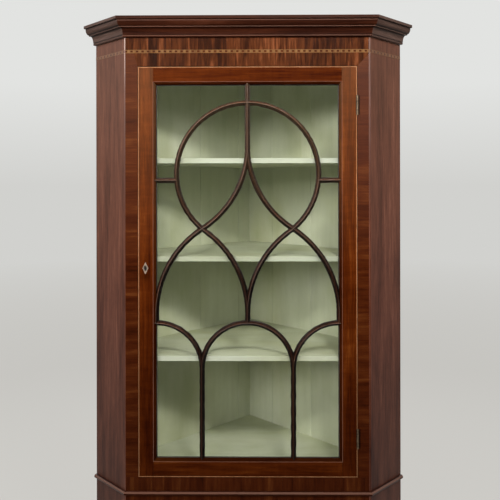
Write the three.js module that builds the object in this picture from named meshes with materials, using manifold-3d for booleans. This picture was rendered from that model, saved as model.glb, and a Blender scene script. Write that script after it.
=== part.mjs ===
// A corner cupboard in two stages, in millimetres, +Z up, with its front towards -Y.
// The upper stage has one glazed door with shaped glazing bars, and the lower stage one plain door.
// The plan has a flat front, two canted sides at 45 degrees and two backs that meet in the room's corner.
// It is modelled with the face of the front at y = 0 and the floor at z = 0, and centred at the end.

import * as THREE from "three";
import { mergeVertices } from "three/addons/utils/BufferGeometryUtils.js";
import Module from "manifold-3d";

const wasm = await Module();
wasm.setup();

// Clearances shared by every piece.
const fitGap = 0.3;
const overrun = 5;
const weldDistance = 0.001;

// Plan of the carcass.
const doorWidth = 624;
const doorGap = 1.2;
const stileFace = 36.8;
const cantWidth = 154.1;
const frameThickness = 22;
const sideThickness = 18;
const backThickness = 14.5;
const backLip = 8;

// The backs are vertical boards with V joints, counted from the room's corner.
const backBoardWidth = 180;
const firstLeftBoard = 70;
const firstRightBoard = 130;
const jointWidth = 4;
const jointDepth = 2;

// Heights of the upper stage, up from the waist.
const waistHeight = 700;
const upperSillHeight = 44.4;
const glazedDoorHeight = 1170;
const friezeHeight = 82.3;

// Heights of the lower stage.
const plinthHeight = 90;
const lowerSillHeight = 39;
const lowerHeadHeight = 44.4;

// Tenons of the frame's rails.
const tenonLength = 18;
const tenonThickness = 7;
const tenonShoulder = 8;

// Boards inside, each let into the sides and backs.
const boardThickness = 18;
const shelfThickness = 14.5;
const housingDepth = 4;
const shelfFront = 25.3;
const sillLip = 16.6;
const upperShelfTops = [384, 672, 956];
const lowerShelfDrop = 7.3;

// Cornice, each size counted up or out from the face of the carcass.
const corniceBeadHeight = 6;
const corniceBeadReach = 10;
const corniceCoveHeight = 19;
const corniceCoveReach = 9;
const corniceFilletReach = 25;
const corniceFilletHeight = 2.5;
const corniceOvoloReach = 11;
const corniceOvoloHeight = 14;
const corniceStepHeight = 3.5;
const corniceReach = 42;
const corniceFasciaHeight = 8;

// Waist bead and plinth.
const beadRadius = 6;
const beadReach = 8.5;
const plinthThickness = 14;
const plinthChamfer = 6;

// Frame of the glazed door.
const doorStileWidth = 50;
const doorTopRailHeight = 50;
const doorBottomRailHeight = 51;
const ovoloWidth = 7;
const ovoloQuirk = 1.2;
const glassSeat = 10;
const rebateWidth = 8;
const glassThickness = 2.2;
const doorTenonLength = 30;

// Glazing bars, each size in the plane of the door.
const barWidth = 13.5;
const barFront = 1.5;
const barShoulder = 3;
const barBeadRadius = 4.1;
const crownDrop = 51.7;
const sweepRadius = 290;
const legRadius = 280;
const stemLength = 27;
const stubLength = 58;
const stubDrop = 18;
const seamLap = 0.5;

// Butt hinges, alike on both doors.
const hingeHeight = 56;
const hingeInset = 110;
const lowerHingeInset = 80;
const hingeProud = 1.6;
const knuckleRadius = 3.2;
const knuckleCount = 5;
const knuckleClearance = 0.4;
const pinRadius = 1.4;
const boreRadius = 1.8;
const leafThickness = 1.6;
const leafDepth = 19;

// Cut-in locks, alike on both doors.
const lockHeight = 50;
const lockWidth = 34;
const lockCover = 9;
const lockUp = 641;
const boltHeight = 15;
const boltThickness = 5;
const boltLength = 27;
const boltTravel = 8;
const talonWidth = 5;
const talonDepth = 4;
const keyInset = 20;
const keyRadius = 3;
const keySlotWidth = 3;
const keyHeight = 14;
const escutcheonHeight = 34;
const escutcheonWidth = 17;
const escutcheonThickness = 2;
const escutcheonProud = 0.4;

// How finely round shapes are divided.
const barFacet = 23;
const knuckleSteps = 10;
const arcSteps = 5;

// Sizes that follow from those above.
const mitre = Math.PI / 8;
const diagonal = Math.SQRT1_2;
const openingHalf = doorWidth / 2 + doorGap;
const frontHalf = openingHalf + stileFace;
const doorHalf = doorWidth / 2;
const upperSill = waistHeight + upperSillHeight;
const glazedDoorBottom = upperSill + doorGap;
const glazedDoorTop = glazedDoorBottom + glazedDoorHeight;
const friezeBottom = glazedDoorTop + doorGap;
const caseTop = friezeBottom + friezeHeight;
const lowerSill = plinthHeight + lowerSillHeight;
const lowerHead = waistHeight - lowerHeadHeight;
const lowerDoorBottom = lowerSill + doorGap;
const lowerDoorTop = lowerHead - doorGap;
const lowerDoorMiddle = (lowerDoorBottom + lowerDoorTop) / 2;
const lowerShelfTop = lowerDoorMiddle - lowerShelfDrop;
const wallLength = cantWidth + frontHalf / diagonal;
const backCorner = frontHalf + cantWidth / diagonal;
const sightHalf = doorHalf - doorStileWidth;
const sightBottom = glazedDoorBottom + doorBottomRailHeight;
const sightTop = glazedDoorTop - doorTopRailHeight;
const pivotX = doorHalf + doorGap / 2;
const pivotY = -hingeProud;
const sides = { left: -1, right: 1 };

const colours = {
  mahogany: [0x6e3418, 0.35],
  crossbanding: [0x5a2c1c, 0.35],
  cantMahogany: [0x4a2c24, 0.4],
  moulding: [0x42201a, 0.35],
  glazingBar: [0x3e1c14, 0.35],
  greenPaint: [0x98a27c, 0.7],
  secondaryWood: [0x8a6a48, 0.7],
  glass: [0xdfe8e2, 0.05],
  brass: [0x8c7d60, 0.4, 0.9],
  iron: [0x4a4742, 0.5, 0.8],
  bone: [0xd9cdb4, 0.5],
};
const materials = {};
for (const [name, [color, roughness, metalness = 0]] of Object.entries(colours)) {
  materials[name] = new THREE.MeshStandardMaterial({ name, color, roughness, metalness });
}
materials.glass.transparent = true;
materials.glass.opacity = 0.3;

const cupboard = new THREE.Group();
cupboard.name = "corner_cupboard";

const v2 = (x, y) => new THREE.Vector2(x, y);
const v3 = (x, y, z) => new THREE.Vector3(x, y, z);

// Two numbers in rising order.
const span = (a, b) => [Math.min(a, b), Math.max(a, b)];

// Turns a closed geometry into a solid that can be cut and joined.
function solidOf(geometry) {
  geometry.deleteAttribute("normal");
  geometry.deleteAttribute("uv");
  const merged = mergeVertices(geometry, weldDistance);
  const vertProperties = new Float32Array(merged.attributes.position.array);
  const triVerts = new Uint32Array(merged.index.array);
  return new wasm.Manifold(new wasm.Mesh({ numProp: 3, vertProperties, triVerts }));
}

// Adds a solid to the cupboard as one named piece.
function add(name, solid, material) {
  const { numProp, vertProperties, triVerts } = solid.getMesh();
  const positions = new THREE.InterleavedBuffer(vertProperties, numProp);
  const geometry = new THREE.BufferGeometry();
  geometry.setAttribute("position", new THREE.InterleavedBufferAttribute(positions, 3, 0));
  geometry.setIndex(new THREE.BufferAttribute(triVerts, 1));
  const flat = geometry.toNonIndexed();
  flat.computeVertexNormals();
  const mesh = new THREE.Mesh(flat, material);
  mesh.name = name;
  cupboard.add(mesh);
  return solid;
}

// Extrudes an outline along one axis. The first two axes carry the outline's own x and y.
function extrude(points, length, axes, origin) {
  const shape = new THREE.Shape(points);
  const geometry = new THREE.ExtrudeGeometry(shape, { depth: length, bevelEnabled: false });
  geometry.applyMatrix4(new THREE.Matrix4().makeBasis(...axes).setPosition(origin));
  return solidOf(geometry);
}

const axisX = v3(1, 0, 0);
const axisY = v3(0, 1, 0);
const axisZ = v3(0, 0, 1);

// An outline on the plan, in x and y, that stands from one height to another.
function standing(points, bottom, top) {
  return extrude(points, top - bottom, [axisX, axisY, axisZ], v3(0, 0, bottom));
}

// An outline on the front, in x and z, that runs from one depth back to another.
function facing(points, front, back) {
  return extrude(points, back - front, [axisX, axisZ, axisY.clone().negate()], v3(0, back, 0));
}

// An outline across a rail, in y and z, that runs from one side to the other.
function lying(points, from, to) {
  return extrude(points, to - from, [axisY, axisZ, axisX], v3(from, 0, 0));
}

function box(low, high) {
  const outline = [v2(low.x, low.y), v2(high.x, low.y), v2(high.x, high.y), v2(low.x, high.y)];
  return standing(outline, low.z, high.z);
}

// Points along an arc, from one angle to another.
function arc(centreX, centreY, radius, start, end, steps) {
  const points = [];
  for (let i = 0; i <= steps; i += 1) {
    const angle = start + ((end - start) * i) / steps;
    points.push(v2(centreX + radius * Math.cos(angle), centreY + radius * Math.sin(angle)));
  }
  return points;
}

// A round bar along Z.
function roundBar(x, y, radius, bottom, top) {
  return standing(arc(x, y, radius, 0, Math.PI * 2, knuckleSteps).slice(0, -1), bottom, top);
}

// A point on the plan, along the cant from the front arris and inward from the cant's face.
function cantPoint(side, along, inward) {
  return v2(side * (frontHalf + (along - inward) * diagonal), (along + inward) * diagonal);
}

// A point on the mitre between the front and a cant, shifted along the cant by a clearance.
function mitrePoint(side, inward, shift) {
  return cantPoint(side, inward * Math.tan(mitre) + shift, inward);
}

// The plan of a board that fills the case, at a clearance from the front, the sides and the backs.
function boardPlan(front, sideInset, backInset) {
  const along = cantWidth - backInset;
  const frontX = frontHalf + front - sideInset / diagonal;
  return [
    v2(-frontX, front),
    v2(frontX, front),
    cantPoint(sides.right, along, sideInset),
    v2(0, backCorner - backInset / diagonal),
    cantPoint(sides.left, along, sideInset),
  ];
}

// A board let into the sides and backs, and the housing that it needs there.
function housedBoard(top, thickness, front) {
  const sideInset = sideThickness - housingDepth;
  const backInset = backThickness - housingDepth;
  const plan = boardPlan(front, sideInset + fitGap, backInset + fitGap);
  const housing = boardPlan(front - fitGap, sideInset, backInset);
  return {
    board: standing(plan, top - thickness, top),
    housing: standing(housing, top - thickness - fitGap, top + fitGap),
  };
}

// Centre lines of the V joints in one back, as distances from the room's corner.
function boardJoints(first) {
  const joints = [];
  const last = wallLength - backLip - sideThickness - jointWidth;
  for (let at = first; at < last; at += backBoardWidth) joints.push(at);
  return joints;
}

// The plan of one back: its inner face is cut by V joints, and one back laps the other in the corner.
function backPlan(side, first, cornerEnd) {
  const inner = cantWidth - backThickness;
  const points = [
    cantPoint(side, cantWidth, backLip + fitGap),
    cantPoint(side, cantWidth, cornerEnd),
    cantPoint(side, inner, cornerEnd),
  ];
  for (const joint of boardJoints(first)) {
    const middle = wallLength - joint;
    points.push(cantPoint(side, inner, middle + jointWidth / 2));
    points.push(cantPoint(side, inner + jointDepth, middle));
    points.push(cantPoint(side, inner, middle - jointWidth / 2));
  }
  points.push(cantPoint(side, inner, backLip + fitGap));
  return points;
}

// The plan of one canted side, rebated at the wall for the back.
function sidePlan(side) {
  const rebate = cantWidth - backThickness - fitGap;
  return [
    mitrePoint(side, 0, fitGap / 2),
    cantPoint(side, cantWidth, 0),
    cantPoint(side, cantWidth, backLip),
    cantPoint(side, rebate, backLip),
    cantPoint(side, rebate, sideThickness),
    mitrePoint(side, sideThickness, fitGap / 2),
  ];
}

// The plan of one front stile, mitred to its canted side.
function stilePlan(side) {
  return [
    v2(side * openingHalf, 0),
    mitrePoint(side, 0, -fitGap / 2),
    mitrePoint(side, frameThickness, -fitGap / 2),
    v2(side * openingHalf, frameThickness),
  ];
}

// A rail's tenons or, with a clearance, the mortises for them in the stiles.
function tenons(half, bottom, top, length, clearance) {
  const middle = frameThickness / 2;
  const reach = tenonThickness / 2 + clearance;
  const low = v3(-half - length - clearance, middle - reach, bottom + tenonShoulder - clearance);
  const high = v3(half + length + clearance, middle + reach, top - tenonShoulder + clearance);
  return box(low, high);
}

// A rail of the front frame between its two stiles.
function frontRail(bottom, top) {
  const half = openingHalf - fitGap;
  const rail = box(v3(-half, 0, bottom), v3(half, frameThickness, top));
  return rail.add(tenons(openingHalf, bottom, top, tenonLength, 0));
}

// One stage of the carcass: backs, sides, stiles, rails and the boards inside.
function buildStage(stage) {
  const { prefix, bottom, top, rails, boards, backMaterial } = stage;
  const housed = boards.map((b) => ({ ...b, ...housedBoard(b.top, b.thickness, b.front) }));
  const cut = (solid) => housed.reduce((left, b) => left.subtract(b.housing), solid);
  for (const [name, side] of Object.entries(sides)) {
    const first = side > 0 ? firstRightBoard : firstLeftBoard;
    const cornerEnd = side > 0 ? wallLength : wallLength - backThickness - fitGap;
    const back = standing(backPlan(side, first, cornerEnd), bottom, top);
    add(`${prefix}_back_${name}`, cut(back), backMaterial);
    const cant = standing(sidePlan(side), bottom, top);
    add(`${prefix}_side_${name}`, cut(cant), materials.cantMahogany);
    let stile = standing(stilePlan(side), bottom, top);
    for (const rail of rails) {
      stile = stile.subtract(tenons(openingHalf, rail.bottom, rail.top, tenonLength, fitGap));
    }
    for (const pocket of stage.pockets) stile = stile.subtract(pocket);
    add(`${prefix}_stile_${name}`, stile, materials.crossbanding);
  }
  for (const rail of rails) add(rail.name, frontRail(rail.bottom, rail.top), materials.crossbanding);
  for (const b of housed) add(b.name, b.board, backMaterial);
}

// The mouldings run along three faces of the carcass: the front and the two cants.
const cantMiddle = (side) => cantPoint(side, cantWidth / 2, 0);
const faces = [
  { name: "front", side: 0, middle: v2(0, 0), outward: v2(0, -1) },
  { name: "left", side: -1, middle: cantMiddle(-1), outward: v2(-diagonal, -diagonal) },
  { name: "right", side: 1, middle: cantMiddle(1), outward: v2(diagonal, -diagonal) },
];

// The part of the plan that a moulding fills on one face, up to the mitres and the wall.
function faceRegion(side) {
  const reach = cantWidth / 2;
  if (side === 0) {
    return [
      mitrePoint(sides.right, -reach, -fitGap / 2),
      mitrePoint(sides.right, reach, -fitGap / 2),
      mitrePoint(sides.left, reach, -fitGap / 2),
      mitrePoint(sides.left, -reach, -fitGap / 2),
    ];
  }
  return [
    mitrePoint(side, -reach, fitGap / 2),
    cantPoint(side, cantWidth, -reach),
    cantPoint(side, cantWidth, reach),
    mitrePoint(side, reach, fitGap / 2),
  ];
}

// Runs a moulding round the carcass in three mitred lengths. Its outline is in reach and height.
function buildMoulding(prefix, outline, height) {
  const run = frontHalf + cantWidth;
  for (const { name, side, middle, outward } of faces) {
    const along = v3(outward.y, -outward.x, 0);
    const start = v3(middle.x, middle.y, 0).addScaledVector(along, -run);
    const axes = [v3(outward.x, outward.y, 0), axisZ, along];
    const length = extrude(outline, run * 2, axes, start);
    const region = standing(faceRegion(side), 0, caseTop + height);
    add(`${prefix}_${name}`, length.intersect(region), materials.moulding);
  }
}

function corniceHeight() {
  const lower = corniceBeadHeight + corniceCoveHeight + corniceFilletHeight;
  return lower + corniceOvoloHeight + corniceStepHeight + corniceFasciaHeight;
}

// The cornice: a bead, a cove, a fillet, an ovolo and a fascia, from its foot up.
function corniceOutline() {
  const foot = caseTop + fitGap;
  const beadTop = foot + corniceBeadHeight;
  const coveTop = beadTop + corniceCoveHeight;
  const filletTop = coveTop + corniceFilletHeight;
  const ovoloTop = filletTop + corniceOvoloHeight;
  const stepTop = ovoloTop + corniceStepHeight;
  const top = stepTop + corniceFasciaHeight;
  const beadMiddle = foot + corniceBeadHeight / 2;
  const beadNose = corniceBeadReach - corniceBeadHeight / 2;
  const ovoloFoot = corniceFilletReach;
  const ovoloNose = corniceFilletReach + corniceOvoloReach;
  const points = [v2(-frameThickness, foot)];
  const beadRound = corniceBeadHeight / 2;
  points.push(...arc(beadNose, beadMiddle, beadRound, -Math.PI / 2, Math.PI / 2, arcSteps));
  const hollow = arc(0, 0, 1, Math.PI, Math.PI / 2, arcSteps);
  for (const p of hollow) {
    const reach = corniceBeadReach + corniceCoveReach * (1 + p.x);
    points.push(v2(reach, beadTop + corniceCoveHeight * p.y));
  }
  points.push(v2(ovoloFoot, coveTop), v2(ovoloFoot, filletTop));
  const round = arc(0, 0, 1, 0, Math.PI / 2, arcSteps);
  for (const p of round.slice(1)) {
    const reach = ovoloFoot + corniceOvoloReach * (1 - Math.cos(Math.asin(p.y)));
    points.push(v2(reach, filletTop + corniceOvoloHeight * p.y));
  }
  points.push(v2(ovoloNose, stepTop), v2(corniceReach, stepTop), v2(corniceReach, top));
  points.push(v2(-frameThickness, top));
  return points;
}

// The waist bead: a half round on a narrow nib, over the line between the two stages.
function beadOutline() {
  const nib = beadReach - beadRadius;
  const round = arc(nib, waistHeight, beadRadius, -Math.PI / 2, Math.PI / 2, arcSteps + 2);
  return [v2(fitGap, waistHeight - beadRadius), ...round, v2(fitGap, waistHeight + beadRadius)];
}

// The plinth: a plain board with its top edge rounded over.
function plinthOutline() {
  const shoulder = plinthHeight - plinthChamfer;
  const nose = plinthThickness - plinthChamfer;
  const edge = arc(nose, shoulder, plinthChamfer, 0, Math.PI / 2, arcSteps);
  return [v2(fitGap, 0), v2(plinthThickness, 0), ...edge, v2(fitGap, plinthHeight)];
}

// The moulded section of the glazed door's frame: distance out from the sight line, and depth.
function frameSection(width) {
  const round = arc(ovoloWidth, ovoloWidth + ovoloQuirk, ovoloWidth, -Math.PI / 2, -Math.PI, arcSteps);
  return [
    v2(width, 0),
    v2(ovoloWidth, 0),
    ...round,
    v2(0, glassSeat),
    v2(rebateWidth, glassSeat),
    v2(rebateWidth, frameThickness),
    v2(width, frameThickness),
  ];
}

// The front outline of a door rail: butted at the stiles and mitred across the moulding.
function doorRailOutline(sight, outer, grow) {
  const up = Math.sign(outer - sight);
  const edge = sightHalf + ovoloWidth + grow;
  const inner = sightHalf + grow / 2;
  const mitred = sight + up * (ovoloWidth - grow / 2);
  const far = outer + up * grow;
  const near = sight - up * grow;
  return [
    v2(-edge, far),
    v2(-edge, mitred),
    v2(-inner, near),
    v2(inner, near),
    v2(edge, mitred),
    v2(edge, far),
  ];
}

// The tenons of a door rail, between the rebate and the rail's outer edge.
function doorTenons(sight, outer, clearance) {
  const [low, high] = span(sight + Math.sign(outer - sight) * rebateWidth, outer);
  return tenons(sightHalf + ovoloWidth - fitGap, low, high, doorTenonLength, clearance);
}

// One rail of the glazed door, with its tenons.
function doorRail(sight, outer) {
  const up = Math.sign(outer - sight);
  const section = frameSection(Math.abs(outer - sight)).map((p) => v2(p.y, sight + up * p.x));
  const outline = facing(doorRailOutline(sight, outer, 0), -overrun, frameThickness + overrun);
  const rail = lying(section, -doorHalf, doorHalf).intersect(outline);
  return rail.add(doorTenons(sight, outer, 0));
}

// The room that a door rail and its tenons need in the stiles.
function doorRailRoom(sight, outer) {
  const outline = facing(doorRailOutline(sight, outer, fitGap), -overrun, frameThickness + overrun);
  return outline.add(doorTenons(sight, outer, fitGap));
}

function doorStile(side) {
  const section = frameSection(doorStileWidth).map((p) => v2(side * (sightHalf + p.x), p.y));
  return standing(section, glazedDoorBottom, glazedDoorTop)
    .subtract(doorRailRoom(sightTop, glazedDoorTop))
    .subtract(doorRailRoom(sightBottom, glazedDoorBottom));
}

// The section of a glazing bar, a bead between two shoulders: distance across, and depth.
function barSection(grow) {
  const back = glassSeat - fitGap + grow;
  const half = barWidth / 2 + grow;
  const bead = barBeadRadius + grow;
  const beadMiddle = barFront + barBeadRadius;
  const shoulder = back - grow - barShoulder - grow;
  const round = arc(0, beadMiddle, bead, -Math.PI, 0, arcSteps);
  return [v2(-half, back), v2(-half, shoulder), ...round, v2(half, shoulder), v2(half, back)];
}

// Places along an arc in the plane of the door, each with its middle and the way across the bar.
function arcPlaces(centreX, centreZ, radius, from, to) {
  const turn = Math.sign(to - from);
  const steps = Math.ceil((Math.abs(to - from) * radius) / barFacet);
  return arc(0, 0, 1, from, to, steps).map((ray) => ({
    middle: v2(centreX + ray.x * radius, centreZ + ray.y * radius),
    across: ray.multiplyScalar(turn),
  }));
}

// A place moved straight up or down to a new height.
function movedTo(place, height) {
  return { middle: v2(place.middle.x, height), across: place.across };
}

// A glazing bar that follows its places, closed at both ends.
function barAlong(places, grow) {
  const section = barSection(grow);
  const size = section.length;
  const corners = [];
  const faces = [];
  places.forEach(({ middle, across }, i) => {
    for (const p of section) {
      corners.push(v3(middle.x + across.x * p.x, p.y, middle.y + across.y * p.x));
    }
    for (let k = 0; k < size && i > 0; k += 1) {
      const next = (k + 1) % size;
      const [a, b] = [(i - 1) * size + k, (i - 1) * size + next];
      faces.push([a, b, b + size], [a, b + size, a + size]);
    }
  });
  const last = (places.length - 1) * size;
  for (const [a, b, c] of THREE.ShapeUtils.triangulateShape(section, [])) {
    faces.push([c, b, a], [last + a, last + b, last + c]);
  }
  const geometry = new THREE.BufferGeometry().setFromPoints(corners);
  return solidOf(geometry.setIndex(faces.flat()));
}

// A straight glazing bar, upright or level.
function barUpright(x, bottom, top, grow) {
  return standing(barSection(grow).map((p) => v2(x + p.x, p.y)), bottom, top);
}

function barLevel(z, from, to, grow) {
  return lying(barSection(grow).map((p) => v2(p.y, z + p.x)), from, to);
}

// The part of the door's plane between two heights and two sides.
function window(from, to, bottom, top) {
  return box(v3(from, -overrun, bottom), v3(to, frameThickness, top));
}

// Heights on the centre line, where arcs of the given radii meet without a kink.
function tangentRise(radius, offset) {
  return Math.sqrt((radius + sweepRadius) ** 2 - offset ** 2);
}

const arcadeRadius = sightHalf / 2;
const balloonRadius = sightHalf - stubLength;
const balloonZ = sightTop - crownDrop - balloonRadius;
const sweepZ = balloonZ - tangentRise(balloonRadius, sweepRadius);
const arcadeZ = sweepZ - stemLength - arcadeRadius;
const legOffset = legRadius + sweepRadius - sightHalf;
const apexZ = sweepZ + tangentRise(legRadius, legOffset);
const stubZ = balloonZ - stubDrop;

// The lean of the line from a sweep's centre up to the centre of the arc that it runs into.
function leanOf(upperX, upperZ, lowerX) {
  return Math.atan2(upperZ - sweepZ, upperX - lowerX);
}

const mirrored = (solid) => solid.mirror([1, 0, 0]);

// The balloon: a round top, two sweeps that bring it in to the centre line, and a short stem.
function balloonBars(grow) {
  const lean = leanOf(0, balloonZ, sweepRadius);
  const pastCrown = Math.PI / 2 + seamLap / balloonRadius;
  const sweep = arcPlaces(sweepRadius, sweepZ, sweepRadius, Math.PI, lean);
  const round = arcPlaces(0, balloonZ, balloonRadius, lean - Math.PI, pastCrown);
  const half = barAlong([...sweep, ...round.slice(1)], grow);
  const stem = barUpright(0, arcadeZ + arcadeRadius, sweepZ + seamLap, grow);
  return half.add(mirrored(half)).add(stem);
}

// The right leg: an arc down from the apex on the centre line, and a sweep out to the stile.
function legBar(grow) {
  const lowerX = sightHalf - sweepRadius;
  const lean = leanOf(legRadius, apexZ, lowerX);
  const upper = arcPlaces(legRadius, apexZ, legRadius, Math.PI, Math.PI + lean);
  const lower = arcPlaces(lowerX, sweepZ, sweepRadius, lean, 0);
  const leg = barAlong([...upper, ...lower.slice(1)], grow);
  return leg.intersect(window(fitGap - grow, doorHalf, sightBottom, sightTop));
}

// The arcade: a whole arch on two uprights, and a half arch from each of them to the stile.
function arcadeBars(grow) {
  const foot = sightBottom - ovoloWidth / 2;
  const whole = arcPlaces(0, arcadeZ, arcadeRadius, Math.PI, 0);
  const uprights = [movedTo(whole[0], foot), ...whole, movedTo(whole.at(-1), foot)];
  const pastStile = Math.PI / 2 - ovoloWidth / arcadeRadius;
  const half = barAlong(arcPlaces(sightHalf, arcadeZ, arcadeRadius, Math.PI, pastStile), grow);
  return barAlong(uprights, grow).add(half).add(mirrored(half));
}

// Halves of the door's depth, in which crossing bars are lapped. They part behind the beads.
const lapDepth = barFront + barBeadRadius - fitGap;
const lapFront = box(
  v3(-doorHalf, -overrun, glazedDoorBottom),
  v3(doorHalf, lapDepth + fitGap / 2, glazedDoorTop),
);
const lapBack = box(
  v3(-doorHalf, lapDepth - fitGap / 2, glazedDoorBottom),
  v3(doorHalf, frameThickness, glazedDoorTop),
);

// Builds the glazed door: frame, bars and glass.
function buildGlazedDoor(fit) {
  const stiles = { lock_stile: doorStile(sides.left), hinge_stile: doorStile(sides.right) };
  const topRail = doorRail(sightTop, glazedDoorTop);
  const bottomRail = doorRail(sightBottom, glazedDoorBottom);
  for (const [name, stile] of Object.entries(stiles)) {
    add(`glazed_door_${name}`, fit(stile), materials.mahogany);
  }
  add("glazed_door_top_rail", topRail, materials.mahogany);
  add("glazed_door_bottom_rail", bottomRail, materials.mahogany);

  // The bars are coped to the frame, with the frame moved in by the clearance.
  const frame = stiles.lock_stile.translate([fitGap, 0, 0])
    .add(stiles.hinge_stile.translate([-fitGap, 0, 0]))
    .add(topRail.translate([0, 0, -fitGap]))
    .add(bottomRail.translate([0, 0, fitGap]));
  const reach = sightHalf + ovoloWidth / 2;
  const inside = window(-reach, reach, sightBottom - ovoloWidth / 2, sightTop + ovoloWidth / 2);
  const coped = (bars) => bars.intersect(inside).subtract(frame);

  const legsGrown = legBar(fitGap).add(mirrored(legBar(fitGap)));
  const stemGrown = barUpright(0, apexZ, sightTop + ovoloWidth, fitGap);
  const balloonGrown = balloonBars(fitGap);
  const arcadeGrown = arcadeBars(fitGap);
  const notchFront = legsGrown.add(stemGrown).intersect(lapFront);
  const notchBack = balloonGrown.intersect(lapBack);

  const stem = barUpright(0, apexZ + fitGap, sightTop + ovoloWidth / 2, 0).subtract(notchBack);
  add("glazing_bar_top_stem", coped(stem), materials.glazingBar);
  const balloon = balloonBars(0).subtract(notchFront).subtract(arcadeGrown);
  add("glazing_bar_balloon", coped(balloon), materials.glazingBar);
  for (const [name, side] of Object.entries(sides)) {
    const leg = side === sides.right ? legBar(0) : mirrored(legBar(0));
    add(`glazing_bar_leg_${name}`, coped(leg.subtract(notchBack)), materials.glazingBar);
    const [from, to] = span(side * balloonRadius, side * reach);
    const stub = barLevel(stubZ, from, to, 0).subtract(balloonGrown);
    add(`glazing_bar_stub_${name}`, coped(stub), materials.glazingBar);
  }
  add("glazing_bar_arcade", coped(arcadeBars(0)), materials.glazingBar);

  const edge = rebateWidth - fitGap * 2;
  const low = v3(-sightHalf - edge, glassSeat + fitGap, sightBottom - edge);
  const high = v3(sightHalf + edge, glassSeat + fitGap + glassThickness, sightTop + edge);
  add("glazed_door_glass", box(low, high), materials.glass);
}

// Where the hinges and the lock of each door sit.
const doors = {
  glazed_door: {
    bottom: glazedDoorBottom,
    top: glazedDoorTop,
    inset: hingeInset,
    lock: waistHeight + lockUp,
  },
  lower_door: {
    bottom: lowerDoorBottom,
    top: lowerDoorTop,
    inset: lowerHingeInset,
    lock: lowerDoorMiddle,
  },
};

function hingePlaces({ bottom, top, inset }) {
  return { top: top - inset, bottom: bottom + inset };
}

// The room that one hinge needs in the door and the stile: its leaves and its knuckle.
function hingeRoom(middle) {
  const low = middle - hingeHeight / 2 - fitGap;
  const high = middle + hingeHeight / 2 + fitGap;
  const reach = doorGap / 2 + leafThickness + fitGap;
  const leaves = box(v3(pivotX - reach, pivotY, low), v3(pivotX + reach, leafDepth + fitGap, high));
  return leaves.add(roundBar(pivotX, pivotY, knuckleRadius + knuckleClearance, low, high));
}

// One leaf of a hinge. Its knuckles alternate with the other leaf's, and one leaf holds the pin.
function hingeLeaf(middle, side, withPin) {
  const pitch = hingeHeight / knuckleCount;
  const foot = middle - hingeHeight / 2;
  const near = side * (doorGap / 2);
  const far = side * (doorGap / 2 + leafThickness);
  const [from, to] = span(pivotX + near, pivotX + far);
  let leaf = box(v3(from, 0, foot), v3(to, leafDepth, foot + hingeHeight));
  for (let i = 0; i < knuckleCount; i += 1) {
    const low = foot + pitch * i;
    const high = low + pitch;
    const own = (i % 2 === 0) === withPin;
    if (own) {
      leaf = leaf.add(roundBar(pivotX, pivotY, knuckleRadius, low + fitGap / 2, high - fitGap / 2));
    } else {
      const room = knuckleRadius + knuckleClearance;
      leaf = leaf.subtract(roundBar(pivotX, pivotY, room, low - fitGap / 2, high + fitGap / 2));
    }
  }
  const head = foot + hingeHeight;
  if (withPin) return leaf.add(roundBar(pivotX, pivotY, pinRadius, foot + fitGap, head - fitGap));
  return leaf.subtract(roundBar(pivotX, pivotY, boreRadius, foot - overrun, head + overrun));
}

function buildHinges(prefix, door) {
  for (const [name, middle] of Object.entries(hingePlaces(door))) {
    add(`${prefix}_hinge_${name}_frame_leaf`, hingeLeaf(middle, 1, true), materials.brass);
    add(`${prefix}_hinge_${name}_door_leaf`, hingeLeaf(middle, -1, false), materials.brass);
  }
}

// The front outline of a keyhole: a round eye over a slot.
function keyholeOutline(x, middle) {
  const eye = middle + keyHeight / 2 - keyRadius;
  const half = keySlotWidth / 2;
  const down = Math.PI * 1.5;
  const turn = Math.asin(half / keyRadius);
  const round = arc(x, eye, keyRadius, turn - Math.PI / 2, down - turn, arcSteps * 2);
  const foot = middle - keyHeight / 2;
  return [v2(x + half, foot), ...round, v2(x - half, foot)];
}

// The front outline of the lozenge escutcheon.
function lozenge(x, middle, grow) {
  const wide = escutcheonWidth / 2 + grow;
  const tall = escutcheonHeight / 2 + grow * (escutcheonHeight / escutcheonWidth);
  return [v2(x + wide, middle), v2(x, middle + tall), v2(x - wide, middle), v2(x, middle - tall)];
}

const keyX = -doorHalf + keyInset;
const boltDepth = (lockCover + frameThickness) / 2;
const escutcheonBack = escutcheonThickness - escutcheonProud;

// The room that a lock and its escutcheon need in the door's lock edge.
function lockRoom(middle) {
  const half = lockHeight / 2 + fitGap;
  const low = v3(-doorHalf - overrun, lockCover - fitGap, middle - half);
  const high = v3(-doorHalf + lockWidth + fitGap, frameThickness + overrun, middle + half);
  const keyhole = facing(keyholeOutline(keyX, middle), -overrun, boltDepth);
  const seat = facing(lozenge(keyX, middle, fitGap), -overrun, escutcheonBack + fitGap);
  return box(low, high).add(keyhole).add(seat);
}

// The slot that the bolt shoots into, in the stile of the carcass.
function strikeRoom(middle) {
  const tall = boltHeight / 2 + fitGap * 2;
  const thick = boltThickness / 2 + fitGap * 2;
  const low = v3(-openingHalf - boltTravel, boltDepth - thick, middle - tall);
  const high = v3(-openingHalf + doorGap / 2, boltDepth + thick, middle + tall);
  return box(low, high);
}

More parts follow.
